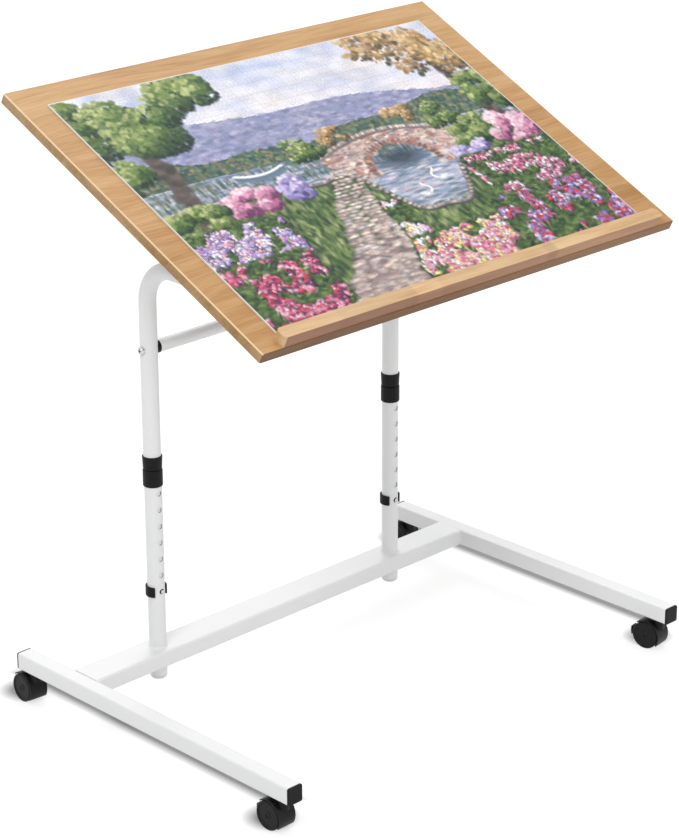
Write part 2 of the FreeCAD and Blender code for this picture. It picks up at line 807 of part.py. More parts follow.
def quadrant(side):
    """Plate with an arc slot about the pivot, a lightening window and a flange screwed to the top."""
    outer_face, inner_face = quadrant_x, quadrant_x - quadrant_sheet
    inner, outer = slot_radius - quadrant_band, slot_radius + quadrant_band
    low = -tilt_max - slot_end_room
    pad = math.degrees(quadrant_band / slot_radius)
    front, back = quadrant_front, outer
    tip_mid = polar(slot_radius, low - pad)
    plate = side_plate(inner_face, outer_face, (front, board_under), (back, board_under), (back, 0),
                       (polar(outer, low / 2), polar(outer, low)), (tip_mid, polar(inner, low)))
    slot_half = clamp_bolt_dia / 2 + hole_fit
    slot = sector_plate(inner_face - 1, outer_face + 1, (0, 0), slot_radius - slot_half,
                        slot_radius + slot_half, low, slot_end_room)
    for angle in (low, slot_end_room):
        y, z = polar(slot_radius, angle)
        slot = slot.fuse(rod(slot_half, (inner_face - 1, y, z), (outer_face + 1, y, z)))
    edge, top, bottom = inner, low * quadrant_window_top, low * quadrant_window_low
    window_front = front + quadrant_rim
    window = side_plate(inner_face - 1, outer_face + 1, (window_front, polar(edge, top)[1]), polar(edge, top),
                        (polar(edge, (top + bottom) / 2), polar(edge, bottom)),
                        (window_front, polar(edge, bottom)[1]))
    bends = [e for e in window.Edges if e.BoundBox.XLength > quadrant_sheet]
    plate = plate.cut(slot).cut(window.makeFillet(quadrant_window_round, bends))
    flange = slab(inner_face, inner_face + quadrant_flange, front, back,
                  board_under - quadrant_sheet, board_under)
    bracket = plate.fuse(flange).removeSplitter()
    ends = [e for e in bracket.Edges if e.BoundBox.XMin > inner_face + quadrant_flange - 0.01
            and e.BoundBox.ZLength > quadrant_sheet / 2]
    bracket = bracket.makeFillet(quadrant_corner, ends)
    if side < 0:
        bracket = bracket.mirror(vec(0, 0, 0), vec(1, 0, 0))
    for x, y, _ in screw_places():
        bracket = bracket.cut(rod(screw_dia / 2 + hole_fit, (x, y, 0), (x, y, board_under + 1)))
    return tipped(bracket)


def board_screws():
    screws = []
    for x, y, sheet in screw_places():
        head = turned(pan_head(screw_head_dia / 2, screw_head_height), (1, 0, 0), 180)
        shank = rod(screw_dia / 2, (0, 0, 0), (0, 0, sheet + screw_bite))
        screws.append(moved(head.fuse(shank).removeSplitter(), x, y, board_under - sheet))
    return tipped(group(screws))


# Casters, drawn with the stem on Z and the wheels trailing towards +Y

def caster_place(name):
    x_side, y_side, swivel, _ = casters[name]
    return x_side * rail_x, rail_mid_y + y_side * (rail_end - caster_inset), swivel - 90


def at_caster(shape, name):
    x, y, turn = caster_place(name)
    return moved(turned(shape, (0, 0, 1), turn), x, y, 0)


def axle_line(shape):
    """Turn a piece drawn on Z onto the wheel axle."""
    return moved(turned(shape, (0, 1, 0), 90), 0, caster_trail, wheel_radius)


def caster_wheels(name):
    """Two dished wheels pressed on one axle."""
    tread = wheel_radius
    rim = tread - wheel_rim
    hub = wheel_hub_dia / 2
    bore = axle_dia / 2 + seat_fit
    bow = wheel_shoulder * quarter_bow
    dish, cap = wheel_outer - wheel_dish, wheel_outer - wheel_hub_sink
    wheel = lathe((bore, wheel_inner), (tread - wheel_chamfer, wheel_inner),
                  (tread, wheel_inner + wheel_chamfer), (tread, wheel_outer - wheel_shoulder),
                  ((tread - bow, wheel_outer - bow), (tread - wheel_shoulder, wheel_outer)),
                  (rim, wheel_outer), (rim - wheel_dish, dish), (hub + wheel_dish, dish), (hub, cap),
                  (bore, cap))
    pair = [wheel, turned(wheel, (1, 0, 0), 180)]
    return at_caster(axle_line(group(pair)), name)


def caster_axle(name):
    reach = wheel_outer - axle_sink
    return at_caster(axle_line(rod(axle_dia / 2, (0, 0, -reach), (0, 0, reach))), name)


def brake_pivot():
    y, z = polar(brake_pivot_radius, brake_pivot_angle)
    return caster_trail + y, wheel_radius + z


def caster_hood(name):
    """Mudguard over the wheels' leading side, a web between them and a boss for the stem."""
    centre = caster_trail, wheel_radius
    half = wheel_outer - hood_inset
    inner = wheel_radius + hood_wheel_room
    outer = inner + hood_wall
    web = wheel_inner - hood_side_room
    guard = sector_plate(-half, half, centre, inner, outer, hood_back_angle, hood_front_angle)
    wedge = sector_plate(-web, web, centre, axle_dia / 4, inner + hood_wall / 2, hood_back_angle, hood_front_angle)
    disc = rod(hood_web_disc, (-web, *centre), (web, *centre))
    boss_top = caster_height - stem_flange_thick - face_gap
    boss = rod(boss_dia / 2, (0, 0, stem_seat - boss_root), (0, 0, boss_top))
    for side in (-1, 1):
        boss = boss.cut(rod(inner, (side * web, *centre), (side * 2 * half, *centre)))
    hood = guard.fuse([wedge, disc, boss]).removeSplitter()
    hood = hood.cut(rod(axle_dia / 2 + slide_fit, (-half, *centre), (half, *centre)))
    hood = hood.cut(rod(stem_dia / 2 + slide_fit, (0, 0, stem_seat), (0, 0, caster_height)))
    if casters[name][3]:
        y, z = brake_pivot()
        blade = brake_blade / 2 + face_gap
        room = brake_eye + 2 * face_gap
        hood = hood.cut(slab(-blade, blade, y - room, y + wheel_radius, z - wheel_radius, z + room))
        hood = hood.cut(rod(brake_pin_dia / 2 + slide_fit, (-half, y, z), (half, y, z)))
    return at_caster(hood, name)


def caster_stems():
    """Threaded stems with a seat flange, screwed into the foot rails."""
    low, high = stem_seat + stem_room, caster_height + rail_wall + stem_reach
    radius, flange = stem_dia / 2, stem_flange_dia / 2
    seat = caster_height - stem_flange_thick
    tip = radius - stem_chamfer
    stem = lathe((0, low), (tip, low), (radius, low + stem_chamfer), (radius, seat), (flange, seat),
                 (flange, caster_height), (radius, caster_height), (radius, high - stem_chamfer), (tip, high),
                 (0, high))
    return group([at_caster(stem, name) for name in casters])


def caster_nuts():
    """Weld nuts inside the foot rails."""
    low = caster_height + rail_wall
    nut = hexagon(nut_hex, low, low + nut_height)
    nut = nut.cut(rod(stem_dia / 2 + seat_fit, (0, 0, low - 1), (0, 0, low + nut_height + 1)))
    nuts = []
    for name in casters:
        x, y, _ = caster_place(name)
        nuts.append(moved(nut, x, y))
    return group(nuts)


def caster_brake(name):
    """Foot lever on two trunnions in the web, with a tab behind the wheels."""
    centre = caster_trail, wheel_radius
    y, z = brake_pivot()
    blade = brake_blade / 2
    middle = (brake_tab_low + brake_tab_high) / 2
    ty, tz = polar(brake_tab_inner + brake_tab_round, middle)
    ty, tz = ty + caster_trail, tz + wheel_radius
    length = math.dist((y, z), (ty, tz))
    nx, nz = -(tz - z) / length * brake_eye, (ty - y) / length * brake_eye
    tip_x, tip_z = nx * brake_arm_taper, nz * brake_arm_taper
    arm = side_plate(-blade, blade, (y + nx, z + nz), (y - nx, z - nz), (ty - tip_x, tz - tip_z),
                     (ty + tip_x, tz + tip_z))
    eye = rod(brake_eye, (-blade, y, z), (blade, y, z))
    half = brake_tab_width / 2
    tab = sector_plate(-half, half, centre, brake_tab_inner, brake_tab_outer, brake_tab_low, brake_tab_high)
    rounded = [e for e in tab.Edges if e.BoundBox.XLength < 0.01 and e.BoundBox.ZLength > brake_eye]
    tab = tab.makeFillet(brake_tab_round, rounded)
    web = wheel_inner - hood_side_room
    trunnion = rod(brake_pin_dia / 2, (-web, y, z), (web, y, z))
    lever = arm.fuse([eye, tab, trunnion]).removeSplitter()
    return at_caster(lever, name)


nodes = {
    "table_top": table_top(),
    "front_ledge": front_ledge(),
    "jigsaw_puzzle": jigsaw_puzzle(),
    "ledge_screws": ledge_screws(),
    "board_screws": board_screws(),
    "cross_beam": cross_beam(),
    "weld_beads": weld_beads(),
    "tie_tube": tie_tube(),
    "tie_screws": tie_screws(),
    "pivot_bolts": pivot_fasteners("bolt"),
    "pivot_nuts": pivot_fasteners("nut"),
    "clamp_bolts": clamp_bolts(),
    "clamp_washers": clamp_washers(),
    "rest_pads": rest_pads(),
    "caster_stems": caster_stems(),
    "caster_nuts": caster_nuts(),
}
paired = {
    "foot_rail": foot_rail,
    "lower_leg": lower_leg,
    "foot_plug": foot_plug,
    "lower_collar": lower_collar,
    "upper_collar": upper_collar,
    "upper_tube": upper_tube,
    "inner_post": inner_post,
    "post_guide": post_guide,
    "tie_saddle": tie_saddle_plug,
    "arm_plug": arm_plug,
    "clamp_spacer": clamp_spacer,
    "snap_button": snap_button,
    "lock_clip": lock_clip,
    "tilt_knob": tilt_knob,
    "pivot_bracket": pivot_bracket,
    "quadrant": quadrant,
}
for piece, make in paired.items():
    for side_name, side in sides.items():
        nodes[f"{piece}_{side_name}"] = make(side)
nodes["rail_caps"] = group([rail_cap(side, end) for side in sides.values() for end in (-1, 1)])
for corner, (x_side, y_side, swivel, brake) in casters.items():
    nodes[f"caster_hood_{corner}"] = caster_hood(corner)
    nodes[f"caster_wheels_{corner}"] = group(caster_wheels(corner).Solids + [caster_axle(corner)])
    if brake:
        nodes[f"caster_brake_{corner}"] = caster_brake(corner)

os.makedirs("parts", exist_ok=True)
for node, shape in nodes.items():
    shape.exportStep(f"parts/{node}.step")
print(len(nodes), "nodes,", sum(len(shape.Solids) for shape in nodes.values()), "solids")
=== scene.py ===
# %% [markdown]
# # A jigsaw table with a tilting top
# The real table is a light wooden board on a white tube frame with black plastic fittings and
# casters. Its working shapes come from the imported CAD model, so this lesson loads that model as a
# fixed frame, gives every piece a finish made of shader nodes, lays a printed puzzle on the board
# and sets up the studio. Lengths are in metres throughout.

# %% Load the frame
import math

import bpy
import numpy as np
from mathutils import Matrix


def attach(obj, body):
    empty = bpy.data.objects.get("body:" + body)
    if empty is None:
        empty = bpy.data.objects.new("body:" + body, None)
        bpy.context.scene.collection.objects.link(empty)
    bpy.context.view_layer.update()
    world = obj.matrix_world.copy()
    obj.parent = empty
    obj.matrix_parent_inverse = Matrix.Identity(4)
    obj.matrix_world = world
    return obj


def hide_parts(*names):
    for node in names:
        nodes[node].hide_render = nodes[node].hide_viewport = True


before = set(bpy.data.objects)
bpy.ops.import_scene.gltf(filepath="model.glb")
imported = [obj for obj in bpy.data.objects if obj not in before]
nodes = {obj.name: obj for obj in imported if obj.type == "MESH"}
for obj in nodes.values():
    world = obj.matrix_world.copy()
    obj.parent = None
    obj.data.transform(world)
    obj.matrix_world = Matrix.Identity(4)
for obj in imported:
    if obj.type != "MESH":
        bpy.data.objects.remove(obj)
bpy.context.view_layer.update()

# %% [markdown]
# ## A few helpers for finishes
# A finish is one material. Each helper below does one small job: start a material, add a node and
# fill its inputs, or give CAD pieces their finish. Constant values go straight onto the shader's
# own sockets. Patterns use Object coordinates, so they stay with the part from every side.

# %% Finish helpers


def start_finish(name, **constants):
    """New material with a Principled shader; the constants are values of its sockets."""
    material = bpy.data.materials.new(name)
    material.use_nodes = True
    tree = material.node_tree
    shader = tree.nodes["Principled BSDF"]
    for socket, value in constants.items():
        shader.inputs[socket.replace("_", " ")].default_value = value
    return material, tree, shader


def add_node(tree, kind, inputs=(), **settings):
    """Adds a node, sets its properties, then fills or connects the inputs that are given."""
    node = tree.nodes.new(kind)
    for key, value in settings.items():
        setattr(node, key, value)
    for index, value in dict(inputs).items():
        socket = node.inputs[index]
        if isinstance(value, bpy.types.NodeSocket):
            tree.links.new(value, socket)
        else:
            socket.default_value = value
    return node


def maths(tree, operation, a, b=0.0, c=0.0):
    return add_node(tree, "ShaderNodeMath", {0: a, 1: b, 2: c}, operation=operation).outputs[0]


def minus(tree, a, b):
    return maths(tree, "SUBTRACT", a, b)


def times(tree, a, b):
    return maths(tree, "MULTIPLY", a, b)


def split(tree, vector):
    """The x, y and z of a vector."""
    return add_node(tree, "ShaderNodeSeparateXYZ", {0: vector}).outputs


def vector_length(tree, vector):
    node = add_node(tree, "ShaderNodeVectorMath", {0: vector}, operation="LENGTH")
    return node.outputs["Value"]


def joined_length(tree, *parts):
    """Length of a vector made of these numbers."""
    joined = add_node(tree, "ShaderNodeCombineXYZ", dict(enumerate(parts)))
    return vector_length(tree, joined.outputs[0])


def mix_colour(tree, share, a, b, blend="MIX"):
    node = add_node(tree, "ShaderNodeMix", {0: share, 6: a, 7: b},
                    data_type="RGBA", blend_type=blend)
    return node.outputs[2]


def tinted(tree, share, colour, tint):
    """Multiplies the colour by the tint where the share is 1."""
    return mix_colour(tree, share, colour, tint, "MULTIPLY")


def noise(tree, vector, scale, detail, roughness=0.5):
    node = add_node(tree, "ShaderNodeTexNoise", {"Vector": vector, "Scale": scale,
                                                "Detail": detail, "Roughness": roughness})
    return node.outputs[0]


def ramp(tree, factor, stops, interpolation="LINEAR"):
    node = add_node(tree, "ShaderNodeValToRGB", {0: factor})
    node.color_ramp.interpolation = interpolation
    while len(node.color_ramp.elements) < len(stops):
        node.color_ramp.elements.new(0.5)
    for element, (place, colour) in zip(node.color_ramp.elements, stops):
        element.position = place
        element.color = (*colour, 1.0)
    return node.outputs[0]


def spread(tree, value, low, high, to_low, to_high):
    """Maps the range from low to high onto another range and clamps what lies outside."""
    node = add_node(tree, "ShaderNodeMapRange",
                    {0: value, 1: low, 2: high, 3: to_low, 4: to_high})
    return node.outputs[0]


def stretched(tree, vector, scale, location=(0, 0, 0), rotation=(0, 0, 0), kind="POINT"):
    node = add_node(tree, "ShaderNodeMapping",
                    {0: vector, 1: location, 2: rotation, 3: scale}, vector_type=kind)
    return node.outputs[0]


def object_place(tree):
    return add_node(tree, "ShaderNodeTexCoord").outputs["Object"]


def bump(tree, height, strength=0.12, distance=0.0003):
    inputs = {"Height": height, "Strength": strength, "Distance": distance}
    return add_node(tree, "ShaderNodeBump", inputs).outputs[0]


def connect(tree, shader, **values):
    """Connects values to the shader's sockets; a _ in a name stands for a space."""
    for socket, value in values.items():
        tree.links.new(value, shader.inputs[socket.replace("_", " ")])


def wear(material, *names):
    """Gives CAD nodes this finish."""
    for name in names:
        slots = nodes[name].data.materials
        slots.clear()
        slots.append(material)


def both(*pieces):
    """Names of the left and right ones of mirrored pieces."""
    return [f"{piece}_{side}" for piece in pieces for side in ("left", "right")]


print("helpers ready,", len(nodes), "CAD pieces loaded")

# %% [markdown]
# ## White powder coat
# The tubes are sprayed with white powder and baked. Close up, such a coat is satin and shows a very
# fine orange-peel ripple; from further away only slow changes of gloss are seen. One noise gives
# the ripple as bump, a slower one moves the roughness and the shade a little. The sides of the
# holes in the lower legs and the bore behind them are painted near black, as painted shade for the
# shadow inside each hole.

# %% Powder coat on the tubes
coat_shades = [(0.3, (0.85, 0.858, 0.862)), (0.7, (0.885, 0.89, 0.89))]
# Painted shade: near-black colour for the sides of the holes in the lower legs.
painted_hole_shade = (0.12, 0.12, 0.125, 1.0)
leg_x, leg_y, leg_skin = 0.236, 0.1516, 0.0123


def punched_wall(tree, place):
    """1 inside the wall of a lower leg, at the sides of the punched holes, where painted shade
    goes.
    """
    x, y, _ = split(tree, place)
    across = minus(tree, maths(tree, "ABSOLUTE", x), leg_x)
    radius = joined_length(tree, across, minus(tree, y, leg_y))
    return maths(tree, "LESS_THAN", radius, leg_skin)


def powder_coat(name, punched):
    material, tree, shader = start_finish(name, IOR=1.5)
    place = object_place(tree)
    slow = noise(tree, place, scale=9.0, detail=3.0)
    peel = noise(tree, place, scale=950.0, detail=2.0)
    shade = ramp(tree, slow, coat_shades)
    # Painted shade: the hole sides and the bore take the near-black colour.
    if punched:
        shade = mix_colour(tree, punched_wall(tree, place), shade, painted_hole_shade)
    connect(tree, shader, Base_Color=shade, Roughness=spread(tree, slow, 0.3, 0.7, 0.28, 0.38),
            Normal=bump(tree, peel, distance=0.0004))
    return material


wear(powder_coat("white_powder_coat", punched=False), "cross_beam", "weld_beads", "tie_tube",
     *both("foot_rail", "upper_tube", "inner_post"))
wear(powder_coat("white_coat_painted_hole_shade", punched=True), *both("lower_leg"))
print("powder coat on rails, beam, legs, arms and tie tube")

# %% [markdown]
# ## Black mouldings
# Caps, collars, clips, plugs and knobs are moulded in black plastic with a fine spark-eroded grain.
# The casters are a harder nylon, a little shinier, with dust caught in the grain. Both finishes
# share one function and differ in gloss and dust.

# %% Black plastic and nylon
steel_of_casters = ("caster_stems", "caster_nuts")


def black_moulding(name, tone, gloss, dust):
    """Black plastic; gloss is its least roughness, dust lightens the tone where it lies."""
    material, tree, shader = start_finish(name, Specular_IOR_Level=0.17)
    place = object_place(tree)
    grain = noise(tree, place, scale=1400.0, detail=2.0)
    cloud = noise(tree, place, scale=60.0, detail=5.0, roughness=0.65)
    dusty = tuple(channel + dust for channel in tone)
    shade = ramp(tree, cloud, [(0.42, tone), (0.78, dusty)])
    rough = spread(tree, cloud, 0.3, 0.75, gloss, gloss + 0.16)
    connect(tree, shader, Base_Color=shade, Roughness=rough,
            Normal=bump(tree, grain, strength=0.16))
    return material


plastic = black_moulding("black_moulded_plastic", (0.005, 0.005, 0.006), gloss=0.42, dust=0.005)
nylon = black_moulding("black_caster_nylon", (0.006, 0.006, 0.007), gloss=0.34, dust=0.008)
caster_parts = [name for name in nodes if name.startswith("caster_")]
wear(plastic, "rail_caps", *both("lower_collar", "upper_collar", "lock_clip", "tie_saddle",
                                 "arm_plug", "post_guide", "tilt_knob", "clamp_spacer"))
wear(nylon, *[name for name in caster_parts if name not in steel_of_casters])
print("black plastic and nylon given,", len(caster_parts), "caster pieces")

# %% [markdown]
# ## Rubber pads and white plugs
# Small rubber pads on the arms carry the top when it lies flat, and white plugs close the lower
# ends of the legs. Rubber is almost matt and blotchy, so one noise drives both its colour and its
# bump. The plugs are moulded like the black parts, only pale and a little glossier.

# %% Rubber and pale plastic
rubber_shades = [(0.3, (0.018, 0.018, 0.018)), (0.8, (0.04, 0.04, 0.038))]
plug_shades = [(0.3, (0.76, 0.765, 0.765)), (0.75, (0.82, 0.825, 0.825))]


def rubber():
    material, tree, shader = start_finish("black_rest_rubber", Roughness=0.78)
    cloud = noise(tree, object_place(tree), scale=220.0, detail=4.0)
    connect(tree, shader, Base_Color=ramp(tree, cloud, rubber_shades),
            Normal=bump(tree, cloud, strength=0.3, distance=0.0004))
    return material


def pale_plastic():
    material, tree, shader = start_finish("white_plug_plastic", IOR=1.46)
    place = object_place(tree)
    cloud = noise(tree, place, scale=70.0, detail=4.0)
    grain = noise(tree, place, scale=1100.0, detail=2.0)
    connect(tree, shader, Base_Color=ramp(tree, cloud, plug_shades),
            Roughness=spread(tree, cloud, 0.3, 0.75, 0.4, 0.52),
            Normal=bump(tree, grain))
    return material


wear(rubber(), "rest_pads")
wear(pale_plastic(), *both("foot_plug"))
print("rubber pads and white foot plugs given")

# %% [markdown]
# ## Plated steel
# Screws on the uprights are bright plated; bolts, brackets and the slotted quadrants are dull zinc.
# Both are full metals. Brushed streaks or a spangle in the roughness keep the reflections from
# looking like glass. The screws' cross recesses and the sides of the spring buttons are painted
# nearly black, as painted shade.

# %% Chrome and zinc
# Painted shade: near-black colour for the screws' recesses and the buttons' sides.
painted_recess_and_rim_shade = (0.03, 0.03, 0.032, 1.0)
tie_y, tie_z = 0.1516, 0.5236
recess_reach, recess_face = 0.0031, 0.2523


def driver_recess(tree):
    """1 inside the cross recess of the screws on the uprights, where painted shade goes."""
    x, y, z = split(tree, object_place(tree))
    radius = joined_length(tree, minus(tree, y, tie_y), minus(tree, z, tie_z))
    sunk = maths(tree, "LESS_THAN", maths(tree, "ABSOLUTE", x), recess_face)
    return times(tree, sunk, maths(tree, "LESS_THAN", radius, recess_reach))


def button_rim(tree):
    """1 on the sides of the spring buttons, where painted shade goes; 0 on their crowns, which look
    to the front.
    """
    normal = add_node(tree, "ShaderNodeNewGeometry").outputs["Normal"]
    return spread(tree, split(tree, normal)[1], -0.9, -0.6, 0.0, 1.0)


def plated(name, tint, smooth, rough, grain, painted_shade_part=None):
    """Metal with streaks; smooth and rough limit its roughness, grain is the streaks' scale."""
    material, tree, shader = start_finish(name, Metallic=1.0)
    streak = noise(tree, stretched(tree, object_place(tree), grain), 1.0, 5.0, 0.6)
    darker = tuple(channel * 0.86 for channel in tint)
    shade = ramp(tree, streak, [(0.3, darker), (0.7, tint)])
    # Painted shade: the given part takes the near-black colour.
    if painted_shade_part:
        shade = mix_colour(tree, painted_shade_part(tree), shade, painted_recess_and_rim_shade)
    connect(tree, shader, Base_Color=shade,
            Roughness=spread(tree, streak, 0.3, 0.7, smooth, rough),
            Normal=bump(tree, streak, strength=0.08, distance=0.0002))
    return material


bright = plated("bright_plate", (0.66, 0.66, 0.67), smooth=0.08, rough=0.18,
                grain=(400, 400, 400), painted_shade_part=driver_recess)
dull = plated("dull_zinc", (0.62, 0.63, 0.645), smooth=0.30, rough=0.46, grain=(160, 700, 700))
button = plated("button_zinc", (0.66, 0.665, 0.68), smooth=0.24, rough=0.36,
                grain=(500, 500, 500), painted_shade_part=button_rim)
wear(bright, "tie_screws")
wear(dull, "ledge_screws", "board_screws", "pivot_bolts", "pivot_nuts", "clamp_bolts",
     "clamp_washers", *steel_of_casters, *both("quadrant", "pivot_bracket"))
wear(button, *both("snap_button"))
print("plated steel given")

# %% [markdown]
# ## The board's wood
# The top is a light beech-toned board with long grain from side to side, slow orange-brown figure
# and fine pores. The board is tilted in the frame, so its pattern is first laid back flat with a
# Mapping node: X then runs along the grain, Y across it and Z through the thickness. From those
# three the finish knows which face it is on. The cut front is darkened as painted shade, more so to
# the left; the ends are darker, partly as cut wood takes the lacquer darker and partly as painted
# shade; the upper edges of the ends carry a painted highlight; the underside carries a plain
# backing sheet.

# %% Where the board lies
tilt = math.radians(25.7)
pivot = (0.0, -0.19638, 0.646)
board_front, board_back, board_half = -0.0445, 0.5028, 0.3945
board_face = 0.0334


def board_place(tree):
    """Coordinates on the board as if it lay flat, from its pivot."""
    return stretched(tree, object_place(tree), (1, 1, 1), pivot, (tilt, 0, 0), "TEXTURE")


def over(tree, value, limit, soft=0.0004):
    """Soft step: 0 below the limit, 1 above it."""
    return spread(tree, value, limit - soft, limit + soft, 0.0, 1.0)


def under(tree, value, limit):
    """Soft step: 1 below the limit, 0 above it."""
    return minus(tree, 1.0, over(tree, value, limit))


print("board tilted by", round(math.degrees(tilt), 1), "degrees")

# %% [markdown]
# Wood could be a picture, but then its edges would repeat or smear. Here four noises, drawn out
# along the grain more and more, give the sway, the figure, the streaks and the pores. The same
# function serves the board and the ledge, each with its own three tones.

# %% Wood grain
front_run = 0.25


def fibres(tree, vector, along, across, detail, roughness=0.5):
    """Noise drawn out along the grain; along and across are its scales."""
    return noise(tree, stretched(tree, vector, (along, across, across)), 1.0, detail, roughness)


def grain_colours(tree, flat, dark, middle, light):
    """Long-grain wood: slow figure, fine streaks and short pores, as a colour and a height."""
    sway = spread(tree, fibres(tree, flat, 1.6, 5.0, detail=2.0), 0.0, 1.0, -0.05, 0.05)
    drift = add_node(tree, "ShaderNodeCombineXYZ", {1: sway}).outputs[0]
    bent = add_node(tree, "ShaderNodeVectorMath", {0: flat, 1: drift}, operation="ADD").outputs[0]
    figure = fibres(tree, bent, 3.0, 28.0, detail=4.0, roughness=0.6)
    streak = fibres(tree, bent, 13.0, 300.0, detail=3.0, roughness=0.6)
    pore = fibres(tree, bent, 70.0, 1300.0, detail=2.0)
    tone = maths(tree, "ADD", times(tree, figure, 0.64), times(tree, streak, 0.36))
    colour = ramp(tree, tone, [(0.37, dark), (0.5, middle), (0.63, light)])
    pores = spread(tree, pore, 0.66, 0.76, 0.0, 0.35)
    colour = mix_colour(tree, pores, colour, (*[channel * 0.55 for channel in dark], 1.0))
    return colour, streak


def front_shade_tint(tree, x, left, right):
    """Painted shade for a cut front edge that faces down: a darkening tint, darker to the left."""
    share = spread(tree, x, -front_run, front_run, 0.0, 1.0)
    return mix_colour(tree, share, (*left, 1.0), (*right, 1.0))


print("wood grain ready")

# %% [markdown]
# Each face of the board adds its own change to the grain's colour: first a lighter, paler tone
# towards the back, then the darker cut edges, partly painted shade, the painted highlight on the
# arris and the backing.

# %% Board wood
board_tones = (0.385, 0.185, 0.06), (0.50, 0.275, 0.108), (0.58, 0.35, 0.158)
backing_shades = [(0.32, (0.25, 0.235, 0.22)), (0.68, (0.37, 0.355, 0.34))]
# Painted highlight colour for the upper edges of the ends.
arris_highlight = (0.86, 0.64, 0.40, 1.0)
fade_from, edge_skin = 0.1, 0.0010
arris_wide, arris_deep = 0.0018, 0.0012
backing_depth, backing_cover = 0.0145, 0.85


def board_wood():
    material, tree, shader = start_finish("beech_board", IOR=1.48, Specular_IOR_Level=0.2)
    flat = board_place(tree)
    x, y, z = split(tree, flat)
    outward = maths(tree, "ABSOLUTE", x)
    colour, streak = grain_colours(tree, flat, *board_tones)
    # Lighter and paler towards the back.
    towards_back = spread(tree, y, fade_from, board_back, 0.0, 1.0)
    colour = tinted(tree, towards_back, colour, (1.08, 1.16, 1.3, 1.0))
    # The ends are darker: partly cut wood taking the lacquer darker, partly painted shade.
    ends = maths(tree, "MAXIMUM", over(tree, outward, board_half - edge_skin),
                 over(tree, y, board_back - edge_skin))
    colour = tinted(tree, ends, colour, (0.86, 0.93, 1.04, 1.0))
    # Painted shade: the cut front is darkened, more so to the left.
    front = under(tree, y, board_front + edge_skin)
    tint = front_shade_tint(tree, x, (0.38, 0.33, 0.37), (0.515, 0.46, 0.50))
    colour = tinted(tree, front, colour, tint)
    # Painted highlight along the upper edges of the ends.
    arris = times(tree, over(tree, outward, board_half - arris_wide),
                  over(tree, z, board_face - arris_deep))
    colour = mix_colour(tree, arris, colour, arris_highlight)
    backing = times(tree, under(tree, z, board_face - backing_depth), backing_cover)
    sheet = ramp(tree, noise(tree, flat, 90.0, 6.0, 0.7), backing_shades)
    connect(tree, shader, Base_Color=mix_colour(tree, backing, colour, sheet),
            Roughness=spread(tree, streak, 0.3, 0.7, 0.34, 0.46),
            Normal=bump(tree, streak))
    return material


wear(board_wood(), "table_top")
print("board wood given")

# %% [markdown]
# ## The ledge's finger-jointed strip
# The ledge is glued up from short lengths of the same wood, so its tone steps at each zig-zag
# joint. A triangle wave across the strip is added to X before a ramp picks each length's tone.

# %% Ledge wood
ledge_tones = (0.57, 0.345, 0.165), (0.69, 0.455, 0.245), (0.76, 0.54, 0.32)
ledge_left, ledge_right, ledge_front, ledge_skin = -0.362, 0.365, -0.0435, 0.0006
joints = [ledge_left, -0.262, -0.126, -0.080, 0.124, 0.146]
lengths = [0.97, 0.90, 1.06, 0.95, 0.82, 1.02]
finger_half, finger_reach = 0.0022, 3.0


def ledge_wood():
    material, tree, shader = start_finish("finger_jointed_strip", IOR=1.48,
                                          Specular_IOR_Level=0.3)
    flat = board_place(tree)
    x, y, z = split(tree, flat)
    colour, streak = grain_colours(tree, flat, *ledge_tones)
    zigzag = maths(tree, "PINGPONG", maths(tree, "ADD", y, z), finger_half)
    stepped = maths(tree, "ADD", x, times(tree, zigzag, finger_reach))
    along = spread(tree, stepped, ledge_left, ledge_right, 0.0, 1.0)
    stops = [((joint - ledge_left) / (ledge_right - ledge_left), (tone,) * 3)
             for joint, tone in zip(joints, lengths)]
    colour = tinted(tree, 1.0, colour, ramp(tree, along, stops, "CONSTANT"))
    # Painted shade: the cut front face is darkened, more so to the left.
    front = under(tree, y, ledge_front + ledge_skin)
    tint = front_shade_tint(tree, x, (0.50, 0.355, 0.35), (0.675, 0.52, 0.505))
    connect(tree, shader, Base_Color=tinted(tree, front, colour, tint),
            Roughness=spread(tree, streak, 0.3, 0.7, 0.32, 0.44),
            Normal=bump(tree, streak))
    return material


wear(ledge_wood(), "front_ledge")
print("ledge wood given in", len(lengths), "lengths")

# %% [markdown]
# ## The printed puzzle
# The puzzle is thin card with a colour print and a white paper edge. The print here is a picture
# of our own: a lake before lilac hills, with a stone bridge, trees, a paved path and beds of
# flowers. It is painted stroke by stroke onto a colour attribute of a fine grid, as an illustrator
# lays dabs of paint, so no image file is needed.

# %% Model the puzzle sheet
puzzle_left, puzzle_right = -0.3514, 0.3466
puzzle_front, puzzle_deep = -0.0235, 0.4852
puzzle_wide = puzzle_right - puzzle_left
card = 0.002
columns, rows = 360, 250


